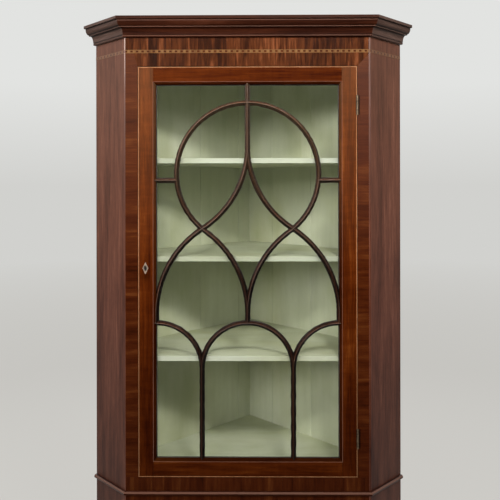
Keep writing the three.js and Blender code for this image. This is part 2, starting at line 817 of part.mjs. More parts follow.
// A lock: its case with a channel, and the bolt that slides in the channel.
function buildLock(prefix, middle) {
  const caseLow = v3(-doorHalf + fitGap, lockCover, middle - lockHeight / 2);
  const caseHigh = v3(-doorHalf + lockWidth, frameThickness - fitGap, middle + lockHeight / 2);
  const boltEnd = -doorHalf + fitGap;
  const thick = boltThickness / 2;
  const tall = boltHeight / 2;
  const channelLow = v3(-doorHalf - overrun, boltDepth - thick - fitGap, middle - tall - fitGap);
  const channelHigh = v3(boltEnd + boltLength + fitGap, boltDepth + thick + fitGap, middle + tall + fitGap);
  const keyhole = facing(keyholeOutline(keyX, middle), 0, boltDepth);
  const lockCase = box(caseLow, caseHigh).subtract(box(channelLow, channelHigh)).subtract(keyhole);
  add(`${prefix}_lock_case`, lockCase, materials.iron);

  const boltLow = v3(boltEnd, boltDepth - thick, middle - tall);
  const boltHigh = v3(boltEnd + boltLength, boltDepth + thick, middle + tall);
  const talonLow = v3(keyX - talonWidth / 2, 0, middle - tall - overrun);
  const talonHigh = v3(keyX + talonWidth / 2, frameThickness, middle - tall + talonDepth);
  const talon = box(talonLow, talonHigh);
  add(`${prefix}_lock_bolt`, box(boltLow, boltHigh).subtract(talon), materials.brass);

  const plate = facing(lozenge(keyX, middle, 0), -escutcheonProud, escutcheonBack);
  const hole = facing(keyholeOutline(keyX, middle), -overrun, overrun);
  add(`${prefix}_escutcheon`, plate.subtract(hole), materials.bone);
}

// What is cut out of each door, and out of the stiles beside it, for its hinges and lock.
function doorRooms(door) {
  return [...Object.values(hingePlaces(door)).map(hingeRoom), lockRoom(door.lock)];
}

function stileRooms(door) {
  return [...Object.values(hingePlaces(door)).map(hingeRoom), strikeRoom(door.lock)];
}

const cutBy = (rooms) => (solid) => rooms.reduce((left, room) => left.subtract(room), solid);

// A board of the case itself stands behind the front frame, and a shelf behind the door.
const boardFront = frameThickness + fitGap;
const caseBoard = (name, top) => ({ name, top, thickness: boardThickness, front: boardFront });
const shelf = (name, top) => ({ name, top, thickness: shelfThickness, front: shelfFront });

const upperBottom = waistHeight + fitGap / 2;
const lowerTop = waistHeight - fitGap / 2;

buildStage({
  prefix: "upper",
  bottom: upperBottom,
  top: caseTop,
  backMaterial: materials.greenPaint,
  rails: [
    { name: "frieze_rail", bottom: friezeBottom, top: caseTop },
    { name: "upper_bottom_rail", bottom: upperBottom, top: upperSill },
  ],
  boards: [
    caseBoard("upper_top_board", caseTop),
    ...upperShelfTops.map((up, i) => shelf(`upper_shelf_${i + 1}`, waistHeight + up)),
    caseBoard("upper_base_board", upperSill - sillLip),
  ],
  pockets: stileRooms(doors.glazed_door),
});

buildStage({
  prefix: "lower",
  bottom: 0,
  top: lowerTop,
  backMaterial: materials.secondaryWood,
  rails: [
    { name: "lower_top_rail", bottom: lowerHead, top: lowerTop },
    { name: "lower_bottom_rail", bottom: 0, top: lowerSill },
  ],
  boards: [
    caseBoard("lower_top_board", lowerTop),
    shelf("lower_shelf", lowerShelfTop),
    caseBoard("lower_base_board", lowerSill - sillLip),
  ],
  pockets: stileRooms(doors.lower_door),
});

buildMoulding("cornice", corniceOutline(), corniceHeight() + overrun);
buildMoulding("waist_bead", beadOutline(), 0);
buildMoulding("plinth", plinthOutline(), 0);

buildGlazedDoor(cutBy(doorRooms(doors.glazed_door)));

const lowerDoor = box(v3(-doorHalf, 0, lowerDoorBottom), v3(doorHalf, frameThickness, lowerDoorTop));
add("lower_door_panel", cutBy(doorRooms(doors.lower_door))(lowerDoor), materials.mahogany);

for (const [prefix, door] of Object.entries(doors)) {
  buildHinges(prefix, door);
  buildLock(prefix, door.lock);
}

// The origin is on the floor, under the middle of the whole cupboard.
cupboard.position.y = (corniceReach - backCorner) / 2;

export default cupboard;
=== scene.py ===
# Dresses the corner cupboard: fine glazing bars and mouldings, veneers and inlay, polished and
# painted finishes, fittings, light and camera. Lengths are in metres, in the frame of the model.

import math
from functools import cache

import bmesh
import bpy
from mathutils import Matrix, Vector


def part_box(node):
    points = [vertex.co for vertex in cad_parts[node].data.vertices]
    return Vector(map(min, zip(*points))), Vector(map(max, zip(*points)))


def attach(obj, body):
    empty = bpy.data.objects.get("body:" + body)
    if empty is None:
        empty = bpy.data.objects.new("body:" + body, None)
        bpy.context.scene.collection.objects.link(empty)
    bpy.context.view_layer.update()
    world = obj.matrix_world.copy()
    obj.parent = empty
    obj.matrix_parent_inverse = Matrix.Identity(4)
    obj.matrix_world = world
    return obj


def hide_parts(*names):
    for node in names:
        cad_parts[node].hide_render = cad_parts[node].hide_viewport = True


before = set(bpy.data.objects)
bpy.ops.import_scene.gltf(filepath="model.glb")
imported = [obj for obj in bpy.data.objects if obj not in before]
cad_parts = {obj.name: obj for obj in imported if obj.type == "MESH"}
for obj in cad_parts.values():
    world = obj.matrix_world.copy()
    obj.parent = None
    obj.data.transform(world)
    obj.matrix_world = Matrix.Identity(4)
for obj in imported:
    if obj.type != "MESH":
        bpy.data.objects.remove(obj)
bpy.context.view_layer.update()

scene = bpy.context.scene


def heights(name):
    """The bottom and the top of a solid."""
    low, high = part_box(name)
    return low.z, high.z


# The face of the front, and the plan of the carcass.
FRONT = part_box("frieze_rail")[0].y
FRAME_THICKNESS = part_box("frieze_rail")[1].y - FRONT
FRONT_HALF = 0.3500
OPENING_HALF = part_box("upper_stile_right")[0].x
CANT_WIDTH = 0.1541
DIAGONAL = math.sqrt(0.5)
MITRE = math.tan(math.pi / 8)
SIDES = (("left", -1), ("right", 1))

# Heights of the carcass and of the two doors.
PLINTH_HEIGHT = heights("plinth_front")[1]
LOWER_SILL = heights("lower_bottom_rail")[1]
LOWER_DOOR_BOTTOM, LOWER_DOOR_TOP = heights("lower_door_panel")
LOWER_HEAD = heights("lower_top_rail")[0]
WAIST = sum(heights("waist_bead_front")) / 2
UPPER_SILL = heights("upper_bottom_rail")[1]
DOOR_BOTTOM, DOOR_TOP = heights("glazed_door_hinge_stile")
FRIEZE_BOTTOM, CASE_TOP = heights("frieze_rail")
CORNICE_FOOT, CORNICE_TOP = heights("cornice_front")

# The doors, and the opening for the glass.
DOORS = ("glazed_door", "lower_door")
HINGES = [(door, place) for door in DOORS for place in ("top", "bottom")]
DOOR_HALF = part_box("glazed_door_hinge_stile")[1].x
SIGHT_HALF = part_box("glazed_door_hinge_stile")[0].x
SIGHT_BOTTOM = heights("glazed_door_bottom_rail")[1]
SIGHT_TOP = heights("glazed_door_top_rail")[0]
GLASS_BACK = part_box("glazed_door_glass")[1].y - FRONT
REBATE = 0.0080

# The tracery of the glazed door, as in the solids.
CROWN_DROP = 0.0517
SWEEP_RADIUS = 0.2900
LEG_RADIUS = 0.2800
STEM_LENGTH = 0.0270
STUB_LENGTH = 0.0580
STUB_DROP = 0.0180
COPE = 0.0035
BAR_FACET = 0.0045

# The section of a glazing bar, across it and back from the face of the door.
BAR_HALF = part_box("glazing_bar_top_stem")[1].x
BAR_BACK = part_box("glazing_bar_top_stem")[1].y - FRONT
BAR_FRONT = 0.0015
BAR_SHOULDER = 0.0005
BAR_HOLLOW_TOP = 0.0050
BAR_HOLLOW_FOOT = 0.0084
BAR_QUIRK = 0.0058
BAR_QUIRK_WIDTH = 0.0003
BAR_BEAD = 0.0031

# The dark putty behind the bars and round the glass. Where it peeks past their edges it is also painted
# shade along them.
PUTTY_DEPTH = 0.0065
PUTTY_PEEK = 0.0010
PUTTY_PEEK_ROUND = 0.0025
PUTTY_TAIL_SHARE = 0.32
PUTTY_FOOT_SHARE = 0.7

# The section of the cornice, out from the face of the carcass and upwards.
MOULDING_GAP = 0.0003
CORNICE_SEAT = 0.0070
CORNICE_BEAD = 0.0030
COVE_REACH = 0.0090
COVE_HEIGHT = 0.0190
FILLET_REACH = 0.0250
FILLET_HEIGHT = 0.0025
OVOLO_REACH = 0.0110
OVOLO_HEIGHT = 0.0160
STEP_HEIGHT = 0.0010
CROWN_REACH = 0.0420
CROWN_EDGE = 0.0005
CROWN_ROUND = 0.0008

# The sections of the waist bead and the plinth.
WAIST_SEAT = 0.0025
WAIST_RADIUS = 0.0060
PLINTH_REACH = 0.0140
PLINTH_ROUND = 0.0060
PLINTH_EDGE = 0.0004

# Veneers and inlay on the carcass and doors.
VENEER = 0.00030
VENEER_SINK = 0.00010
VENEER_TUCK = 0.0005
HAIRLINE = 0.00015
HEAD_MITRE_LEFT = 0.3250
BEAD_ABOVE = WAIST + WAIST_RADIUS - VENEER_TUCK
BEAD_BELOW = WAIST - WAIST_RADIUS + VENEER_TUCK
STRING_WIDTH = 0.0021
STRING_PROUD = 0.00045
CHEQUER_BOTTOM = 1.9552
CHEQUER_HEIGHT = 0.0094
CHEQUER_TOP = CHEQUER_BOTTOM + CHEQUER_HEIGHT
CHEQUER_LINE = 0.0020
CHEQUER_PITCH = 0.0159
CHEQUER_DARK_SHARE = 0.44

# The rounded edges between the front and the cants.
ARRIS_PROUD = 0.0005
ARRIS_CANT_WIDTH = 0.0014
ARRIS_FRONT_WIDTHS = {"left": 0.0012, "right": 0.0042}


def srgb(red, green, blue):
    """A colour as it shows on a screen, from 0 to 255, made linear for a shader."""
    def linear(value):
        share = value / 255
        return share / 12.92 if share <= 0.04045 else ((share + 0.055) / 1.055) ** 2.4
    return (linear(red), linear(green), linear(blue), 1.0)


# Directions. A side has one out of its cant, and one along it towards the wall.
ACROSS = (1, 0, 0)
BACKWARD = (0, 1, 0)
FORWARD = (0, -1, 0)
UP = (0, 0, 1)
OUTWARD = {side: (sign * DIAGONAL, -DIAGONAL, 0) for side, sign in SIDES}
WALLWARD = {side: (sign * DIAGONAL, DIAGONAL, 0) for side, sign in SIDES}

# The ways along a grain and across it.
GRAINS = {
    "x": (ACROSS, UP, BACKWARD),
    "z": (UP, ACROSS, BACKWARD),
    **{side: (WALLWARD[side], UP, OUTWARD[side]) for side, sign in SIDES},
}


# Materials.

class Shader:
    """The nodes of a material or a world, and short ways to build them."""

    def __init__(self, owner):
        owner.use_nodes = True
        self.tree = owner.node_tree
        self.surface = self.tree.nodes.get("Principled BSDF")

    def node(self, kind, inputs=None, **settings):
        made = self.tree.nodes.new("ShaderNode" + kind)
        for key, value in settings.items():
            setattr(made, key, value)
        for key, value in (inputs or {}).items():
            self.feed(made.inputs[key], value)
        return made

    def feed(self, socket, value):
        if isinstance(value, bpy.types.NodeSocket):
            self.tree.links.new(value, socket)
        else:
            socket.default_value = value

    def set(self, **inputs):
        """Feeds the surface. An input's name has _ in place of each space."""
        for key, value in inputs.items():
            self.feed(self.surface.inputs[key.replace("_", " ")], value)

    def math(self, operation, a, b=0.0):
        return self.node("Math", {0: a, 1: b}, operation=operation).outputs[0]

    def plus(self, a, b):
        return self.math("ADD", a, b)

    def minus(self, a, b):
        return self.math("SUBTRACT", a, b)

    def times(self, a, b):
        return self.math("MULTIPLY", a, b)

    def within(self, value, low, high):
        """1 between two values, and 0 elsewhere."""
        away = self.math("ABSOLUTE", self.minus(value, (low + high) / 2))
        return self.math("LESS_THAN", away, (high - low) / 2)

    def dot(self, vector, direction):
        made = self.node("VectorMath", {0: vector, 1: direction}, operation="DOT_PRODUCT")
        return made.outputs["Value"]

    def position(self):
        return self.node("TexCoord").outputs["Object"]

    def along(self, direction):
        """Distance of a point along a direction."""
        return self.dot(self.position(), direction)

    def facing(self, direction):
        """How squarely a face of the piece looks along a direction, from -1 to 1."""
        return self.dot(self.node("TexCoord").outputs["Normal"], direction)

    def grained(self, grain):
        """The place of a point, counted along a grain and both ways across it."""
        axes = [self.along(axis) for axis in GRAINS[grain]]
        return self.node("CombineXYZ", dict(enumerate(axes))).outputs[0]

    def noise(self, vector, scale, detail=3.0, roughness=0.5, distortion=0.0):
        stretched = self.node("VectorMath", {0: vector, 1: scale}, operation="MULTIPLY").outputs[0]
        inputs = {"Vector": stretched, "Scale": 1.0, "Detail": detail, "Roughness": roughness}
        return self.node("TexNoise", {**inputs, "Distortion": distortion}).outputs["Fac"]

    def layered(self, layers, shares):
        """Layers of noise, each added to an even 0.5 by its share."""
        value = 0.5
        for layer, share in zip(layers, shares):
            value = self.plus(value, self.times(self.minus(layer, 0.5), share))
        return value

    def remap(self, value, low, high, new_low=0.0, new_high=1.0):
        inputs = {"Value": value, "From Min": low, "From Max": high}
        made = self.node("MapRange", {**inputs, "To Min": new_low, "To Max": new_high})
        return made.outputs["Result"]

    def ramp(self, value, stops):
        """A colour from a value, by stops that give a value and the colour on a screen there."""
        made = self.node("ValToRGB", {"Fac": value})
        elements = made.color_ramp.elements
        while len(elements) < len(stops):
            elements.new(0.5)
        for element, (place, colour) in zip(elements, stops):
            element.position = place
            element.color = srgb(*colour)
        return made.outputs["Color"]

    def mix(self, share, a, b, blend="MIX"):
        made = self.node("Mix", data_type="RGBA", blend_type=blend)
        self.feed(made.inputs[0], share)
        self.feed(made.inputs[6], a)
        self.feed(made.inputs[7], b)
        return made.outputs[2]

    def shaded(self, colour, share):
        """A colour multiplied by a share."""
        shade = self.node("CombineXYZ", {0: share, 1: share, 2: share}).outputs[0]
        return self.mix(1.0, colour, shade, "MULTIPLY")

    def dimmed(self, colour, where, share):
        """A colour multiplied by a share where a value is 1, and left alone where it is 0."""
        return self.shaded(colour, self.remap(where, 0.0, 1.0, 1.0, share))

    def rounded(self, radius):
        return self.node("Bevel", {"Radius": radius}, samples=4).outputs[0]

    def edges(self, radius):
        """How close a point is to an edge, from 0 to 1."""
        plain = self.node("NewGeometry").outputs["Normal"]
        return self.remap(self.dot(self.rounded(radius), plain), 0.995, 0.90)

    def bump(self, height, distance, strength, rounding=None):
        inputs = {"Height": height, "Distance": distance, "Strength": strength}
        if rounding:
            inputs["Normal"] = self.rounded(rounding)
        self.set(Normal=self.node("Bump", inputs).outputs[0])

    def pale_rays(self):
        """1 for rays of the camera, through glass or mirrored, which show the background."""
        rays = self.node("LightPath").outputs
        direct = self.math("MAXIMUM", rays["Is Camera Ray"], rays["Is Transmission Ray"])
        return self.math("MAXIMUM", direct, rays["Is Glossy Ray"])

    def show(self, share, plain, shown):
        """Ends the tree in two surfaces, mixed by a share."""
        mixed = self.node("MixShader", {0: share, 1: plain.outputs[0], 2: shown.outputs[0]})
        self.feed(self.tree.get_output_node("ALL").inputs["Surface"], mixed.outputs[0])


def new_material(name):
    """A material, and the shader that builds it."""
    material = bpy.data.materials.new(name)
    return material, Shader(material)


# Tones of each timber from its darkest streaks to its lightest.
TIMBERS = {
    "door": [(48, 13, 3), (71, 26, 4), (92, 39, 9), (120, 63, 23)],
    "crossband": [(29, 12, 5), (45, 20, 8), (73, 36, 16), (113, 63, 36)],
    "stile": [(42, 13, 3), (64, 24, 7), (80, 35, 12), (102, 54, 23)],
    "cant": [(42, 19, 14), (69, 37, 27), (91, 53, 40), (118, 75, 60)],
    "moulding": [(21, 7, 4), (35, 14, 7), (50, 22, 11), (71, 37, 23)],
    # The cornice returns: a greyer copy of the moulding, as a painted sheen.
    "return_sheen": [(31, 18, 14), (54, 37, 30), (76, 57, 49), (104, 82, 73)],
    "bar": [(29, 12, 5), (46, 21, 8), (62, 31, 14), (84, 49, 28)],
    "flame": [(48, 16, 6), (80, 32, 11), (106, 50, 18), (136, 76, 32)],
    "deal": [(90, 69, 46), (118, 92, 62), (138, 111, 80), (155, 131, 99)],
    "boxwood": [(108, 67, 34), (134, 90, 48), (154, 108, 62), (170, 129, 83)],
    "string": [(117, 76, 48), (141, 97, 64), (161, 113, 79), (175, 131, 98)],
    "stained": [(46, 18, 6), (60, 26, 9), (74, 34, 13), (92, 46, 20)],
}

# Noise in a timber: repeats in a metre along the grain and across it, detail, roughness, distortion.
FIGURE = ((2.2, 17, 9), 3.0, 0.55, 0.9)
STREAKS = ((4, 66, 40), 2.0, 0.5, 0.3)
FIBRES = ((9, 230, 130), 3.0, 0.6)
FLECKS = ((30, 210, 210), 1.0, 0.5)
RIPPLES = ((80, 9, 9), 2.0, 0.5, 0.6)
PORES = ((70, 1500, 1500), 2.0, 0.6)
FIGURE_SHARES = (1.15, 0.75, 0.75, 0.30)

# Noise in the paint, and its colours.
CLOUDS = ((2.5, 4, 4), 3.0)
BRUSH = ((9, 420, 420), 3.0, 0.6)
RUNS = ((3, 45, 45), 3.0, 0.6)
STAINS = ((3.5, 6, 6), 3.0, 0.5, 0.2)
PAINT_SHARES = (0.65, 0.12, 0.23)
PAINT = [(0.3, (174, 179, 149)), (0.5, (189, 193, 165)), (0.72, (203, 206, 183))]
PAINT_STAIN = srgb(232, 231, 214)
PAINT_ROUGHNESS = 0.55
# Painted shade: the forward faces of the shelves tinted darker and bluer.
SHELF_EDGE_SHADE = srgb(224, 225, 232)

# Depths of relief, and the radii that edges are rounded by and paled by, part wear and part painted
# highlight.
PORE_DEPTH = 0.0003
BRUSH_DEPTH = 0.0004
SCRATCH_DEPTH = 0.0002
BONE_DEPTH = 0.0001
PUTTY_ROUGH_DEPTH = 0.0006
GLASS_WAVE = 0.02
EDGE_ROUNDING = 0.0008
METAL_ROUNDING = 0.0004
WEAR_HIGHLIGHT_EDGE = 0.0012

# Painted shade: timbers darker towards the bottom, the bars lighter towards the top, the lower panel
# nearly even. Two heights, and what a colour is multiplied by at each.
HEIGHT_SHADE = (0.84, 1.60, 0.47, 0.91)
RAIL_HEIGHT_SHADE = (0.75, 1.60, 0.45, 0.75)
STILE_HEIGHT_SHADE = (0.84, 1.60, 0.51, 0.83)
CANT_HEIGHT_SHADE = (0.75, 1.45, 0.66, 0.97)
STRING_HEIGHT_SHADE = (0.75, 1.60, 0.62, 1.0)
BAR_HEIGHT_SHADE = (0.75, 1.90, 0.62, 1.15)
LOWER_TONE = (0.1, 0.7, 0.58, 0.62)

# Painted sheen on the polish, paler towards the top, and the pale colour of rubbed edges and painted
# highlights.
PAINTED_SHEEN = srgb(196, 154, 110)
SHEEN_HEIGHTS = (1.35, 1.90)
CANT_SHEEN = (1.20, 1.85, 0.0, 0.03)
STILE_SHEEN = srgb(66, 40, 36)
STILE_SHEEN_SHARES = (0.18, 0.44)
RUBBED_HIGHLIGHT = srgb(138, 101, 85)


def evenly(share):
    """A tone that is the same at every height."""
    return (0.0, 1.0, share, share)


def wood_colour(shader, timber, grain, broad=1.0, patchy=1.0, ripple=0.0, toned=False):
    """The colour of a timber, its pores as a height, and its fibres."""
    place = shader.grained(grain)
    scale, *character = FIGURE
    layers = [shader.noise(place, [repeats * broad for repeats in scale], *character)]
    layers += [shader.noise(place, *layer) for layer in (STREAKS, FIBRES, FLECKS)]
    fibres = layers[2]
    shares = [FIGURE_SHARES[0] * patchy, *FIGURE_SHARES[1:]]
    if ripple:
        layers.append(shader.noise(place, *RIPPLES))
        shares.append(ripple)
    if toned:
        layers.append(shader.node("Attribute", attribute_name="tone").outputs["Fac"])
        shares.append(1.0)
    stops = [(i / 3, tone) for i, tone in enumerate(TIMBERS[timber])]
    colour = shader.ramp(shader.layered(layers, shares), stops)
    deep = shader.remap(shader.noise(place, *PORES), 0.30, 0.46, 0.6, 1.0)
    return shader.shaded(colour, deep), deep, fibres


@cache
def wood(timber, grain, gloss=0.04, tone_and_shade=None, wear=None, edge_wear_and_highlight=0.0, rough=0.3, sheen_share=0.0, **figure):
    """A polished timber. Its tone and shade multiply its colour between two heights, as painted shade
    or an even tone, and the figure is for its colour.
    """
    material, shader = new_material(f"{timber}_{grain}_{len(bpy.data.materials)}")
    height = shader.along(UP)
    colour, pores, fibres = wood_colour(shader, timber, grain, **figure)
    # Painted shade by height, or an even tone.
    if tone_and_shade:
        colour = shader.shaded(colour, shader.remap(height, *tone_and_shade))
    if wear:
        colour = wear(shader, colour)
    # Painted sheen: paler towards the top.
    if sheen_share:
        colour = shader.mix(shader.remap(height, *SHEEN_HEIGHTS, 0.0, sheen_share), colour, PAINTED_SHEEN)
    # Edges paler: part wear, part painted highlight.
    if edge_wear_and_highlight:
        colour = shader.mix(shader.times(shader.edges(WEAR_HIGHLIGHT_EDGE), edge_wear_and_highlight), colour, RUBBED_HIGHLIGHT)
    roughness = shader.remap(fibres, 0.3, 0.7, rough, rough + 0.14)
    shader.set(Base_Color=colour, Roughness=roughness, Specular_IOR_Level=gloss)
    shader.bump(pores, PORE_DEPTH, 0.35, EDGE_ROUNDING)
    return material


def paint_colour(shader, grain):
    """The green paint of the interior, and its brush marks as a height."""
    place = shader.grained(grain)
    layers = [shader.noise(place, *layer) for layer in (CLOUDS, BRUSH, RUNS)]
    colour = shader.ramp(shader.layered(layers, PAINT_SHARES), PAINT)
    stained = shader.mix(1.0, colour, PAINT_STAIN, "MULTIPLY")
    stains = shader.remap(shader.noise(place, *STAINS), 0.42, 0.70)
    return shader.mix(stains, colour, stained), layers[1]


# The boards of the backs, counted from the corner.
BOARD_WIDTH = 0.1800
FIRST_BOARDS = {"left": 0.0700, "right": 0.1300}
BOARD_SEAM = 0.0009
BACK_CORNER = FRONT + FRONT_HALF + CANT_WIDTH / DIAGONAL


def boarded(side, tones, seam_tone):
    """The seams between the boards of a back, and a tone for each board."""
    def wear(shader, colour):
        start = BACK_CORNER * DIAGONAL - FIRST_BOARDS[side]
        place = shader.math("DIVIDE", shader.plus(shader.along(OUTWARD[side]), start), BOARD_WIDTH)
        board = shader.math("FLOOR", place)
        chance = shader.node("TexWhiteNoise", {"W": board}, noise_dimensions="1D").outputs["Value"]
        colour = shader.shaded(colour, shader.remap(chance, 0.0, 1.0, *tones))
        from_seam = shader.math("PINGPONG", place, 0.5)
        seam = shader.math("LESS_THAN", from_seam, BOARD_SEAM / BOARD_WIDTH)
        return shader.dimmed(colour, seam, seam_tone)
    return wear


# How patchy the bare faces of a painted board are, and how rough.
BARE_FACES = {"cant": (0.75, 0.4), "deal": (1.3, 0.8)}


@cache
def painted(grain, raw=None, wear=None, front=None, seams=None):
    """Green paint. A board with a raw side is bare wood on all but its inner face."""
    material, shader = new_material(f"green_paint_{grain}_{len(bpy.data.materials)}")
    colour, brush = paint_colour(shader, grain)
    rough = PAINT_ROUGHNESS
    if seams:
        colour = seams(shader, colour)
    if raw:
        timber = "cant" if raw[1] < 0 else "deal"
        patchy, bare_rough = BARE_FACES[timber]
        bare = wood_colour(shader, timber, grain, patchy=patchy)[0]
        if timber == "cant":
            # Painted shade darker towards the bottom of a cant, and a painted sheen towards its top.
            height = shader.along(UP)
            bare = shader.shaded(bare, shader.remap(height, *CANT_HEIGHT_SHADE))
            bare = shader.mix(shader.remap(height, *CANT_SHEEN), bare, PAINTED_SHEEN)
        if wear:
            bare = wear(shader, bare)
        outside = shader.math("GREATER_THAN", shader.facing(raw), -0.5)
        colour = shader.mix(outside, colour, bare)
        rough = shader.remap(outside, 0.0, 1.0, rough, bare_rough)
    # Painted shade: faces that look forward, which the lamps light most, tinted darker.
    if front:
        forward = shader.remap(shader.facing(FORWARD), 0.5, 0.9)
        colour = shader.mix(forward, colour, shader.mix(1.0, colour, front, "MULTIPLY"))
    shader.set(Base_Color=colour, Roughness=rough, Specular_IOR_Level=0.1)
    shader.bump(brush, BRUSH_DEPTH, 0.3, EDGE_ROUNDING)
    return material


def metal(name, dark, light, roughness, size):
    """A dull old metal, stained in patches."""
    material, shader = new_material(name)
    place = shader.position()
    stain = shader.noise(place, (size,) * 3, 4.0, 0.6)
    rough = shader.remap(stain, 0.3, 0.7, roughness + 0.15, roughness)
    colour = shader.ramp(stain, [(0.3, dark), (0.7, light)])
    shader.set(Base_Color=colour, Roughness=rough, Metallic=1.0)
    shader.bump(shader.noise(place, (900, 900, 160), 2.0), SCRATCH_DEPTH, 0.25, METAL_ROUNDING)
    return material


def mottled(name, dark, light, roughness, size, depth, wear=None):
    """A plain substance with soft mottling, such as bone or putty."""
    material, shader = new_material(name)
    spots = shader.noise(shader.position(), (size,) * 3, 5.0, 0.6)
    colour = shader.ramp(spots, [(0.3, dark), (0.7, light)])
    if wear:
        colour = wear(shader, colour)
    rough = shader.remap(spots, 0.2, 0.8, roughness, roughness + 0.2)
    shader.set(Base_Color=colour, Roughness=rough)
    shader.bump(spots, depth, 0.5)
    return material


# Near-black at each keyhole, painted shade of its opening fading into the grime the key has rubbed in,
# and a patch from hands below it: how much less each counts upwards, and where it starts and ends.
KEY_STRETCH = 1.35
KEY_SHADE_AND_GRIME = (0.0032, 0.0078)
HANDS_BELOW = 0.0190
HANDS_STRETCH = 1.5
HANDS_DIRT = (0.0040, 0.0173)


def from_keyhole(shader, door, stretch, below=0.0):
    """Distance from a place at or below a keyhole on the front, made less upwards by a stretch."""
    low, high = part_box(f"{door}_escutcheon")
    middle = (low + high) / 2
    aside = shader.minus(shader.along(ACROSS), middle.x)
    above = shader.math("DIVIDE", shader.minus(shader.along(UP), middle.z - below), stretch)
    square = shader.plus(shader.math("POWER", aside, 2.0), shader.math("POWER", above, 2.0))
    return shader.math("SQRT", square)


def keyhole_shade_and_grime(shader, colour):
    """Near-black at the keyhole, painted shade of its opening, fading into the black grime that the key
    has rubbed into the bone.
    """
    nearest = shader.math("MINIMUM", *[from_keyhole(shader, door, KEY_STRETCH) for door in DOORS])
    return shader.shaded(colour, shader.remap(nearest, *KEY_SHADE_AND_GRIME, 0.05, 1.0))


# Across the frame beside the knuckles of the hinges, where a painted shadow falls.
HINGE_SHADOW = (0.3148, 0.3208)


def beside_hinges(shader, colour):
    """Painted sheen over the frame, paler upwards and to the right, and painted shadows beside the
    knuckles of the hinges.
    """
    x, z = shader.along(ACROSS), shader.along(UP)
    rightward = shader.remap(x, -FRONT_HALF, FRONT_HALF, *STILE_SHEEN_SHARES)
    sheen = shader.times(shader.remap(z, *SHEEN_HEIGHTS), rightward)
    colour = shader.mix(sheen, colour, STILE_SHEEN)
    level = 0.0
    for door, place in HINGES:
        level = shader.plus(level, shader.within(z, *heights(f"{door}_hinge_{place}_frame_leaf")))
    return shader.dimmed(colour, shader.times(shader.within(x, *HINGE_SHADOW), level), 0.30)


def old_glass():
    """Thin drawn glass: clear, a little green, with slow waves and a few specks."""
    material, shader = new_material("old_glass")
    place = shader.position()
    waves = shader.noise(place, (9, 9, 4), 2.0, 0.4, 0.4)
    dust = shader.noise(place, (60, 60, 60), 5.0, 0.7)
    alpha = shader.remap(dust, 0.45, 0.8, 0.012, 0.03)
    tint = srgb(120, 130, 118)
    shader.set(Base_Color=tint, Roughness=0.05, Alpha=alpha, Specular_IOR_Level=0.9)
    shader.bump(waves, GLASS_WAVE, 0.15)
    return material


BRASS = metal("brass", (52, 44, 35), (118, 102, 82), 0.38, 160)
IRON = metal("iron", (44, 38, 34), (84, 78, 72), 0.5, 90)
SCREW_IRON = metal("screw_iron", (60, 54, 48), (112, 104, 94), 0.4, 300)
BONE = mottled("bone", (106, 85, 69), (150, 129, 110), 0.35, 300, BONE_DEPTH, keyhole_shade_and_grime)
PUTTY = mottled("putty", (28, 23, 18), (60, 51, 41), 0.7, 220, PUTTY_ROUGH_DEPTH)
# Near-black seats under the screws: painted shade in their slots and round their heads.
SEAT_SHADE = mottled("painted_shade", (14, 11, 8), (34, 28, 22), 0.7, 400, BONE_DEPTH)
GLASS = old_glass()
BOXWOOD = wood("boxwood", "z", tone_and_shade=evenly(0.52))
STRING = wood("string", "z", 0.02, tone_and_shade=STRING_HEIGHT_SHADE)
STAINED = wood("stained", "x", 0.01)
FADED_LINE = wood("string", "z", 0.2, tone_and_shade=evenly(0.38), rough=0.38)
FADED_LIGHT = wood("string", "z", 0.2, tone_and_shade=evenly(0.44), rough=0.38)
FADED_DARK = wood("cant", "z", 0.2, tone_and_shade=evenly(0.88), rough=0.38)
FRIEZE_BAND = wood("crossband", "z", 0.01, broad=3.2, patchy=1.5, toned=True)
LOW_BAND = wood("stile", "z", 0.015, broad=1.6, patchy=1.2, toned=True, tone_and_shade=HEIGHT_SHADE)
STILE_BAND = wood(
    "stile", "x", 0.01, broad=1.8, patchy=1.4, toned=True, tone_and_shade=STILE_HEIGHT_SHADE, wear=beside_hinges,
    sheen_share=0.02,
)


# Building meshes.

def tube_faces(first, size, rings=2):
    """The faces of a closed solid whose rings of corners follow each other from a first corner."""
    last = first + (rings - 1) * size
    faces = [list(range(start, start + size)) for start in (first, last)]
    for ring in range(first, last, size):
        around = [(ring + k, ring + (k + 1) % size) for k in range(size)]
        faces += [[a, b, b + size, a + size] for a, b in around]
    return faces


def placed(name, data):
    """A new object."""
    made = bpy.data.objects.new(name, data)
    scene.collection.objects.link(made)
    return made


def piece(name, corners, faces, material, body="carcass", slot=None, smooth=False, tones=None):
    """Makes one piece of the cupboard that rides on a body. Tones give each face its own."""
    mesh = bpy.data.meshes.new(name)
    mesh.from_pydata([tuple(c) for c in corners], [], faces)
    if tones:
        values = mesh.attributes.new("tone", "FLOAT", "FACE")
        for i, tone in enumerate(tones):
            values.data[i].value = tone
    shape = bmesh.new()
    shape.from_mesh(mesh)
    bmesh.ops.recalc_face_normals(shape, faces=shape.faces)
    shape.to_mesh(mesh)
    shape.free()
    mesh.materials.append(material)
    if smooth:
        mesh.shade_smooth()
        mesh.set_sharp_from_angle(angle=math.radians(32))
    made = placed(name, mesh)
    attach(made, body)
    return made


def on_front(across, up, proud):
    """A place on the front face."""
    return (across, FRONT - proud, up)


def on_cant(sign):
    """Places on one canted face, counted along it from the front arris."""
    def place(along, up, proud):
        out = proud * DIAGONAL
        inward = along * DIAGONAL
        return (sign * (FRONT_HALF + inward + out), FRONT + inward - out, up)
    return place


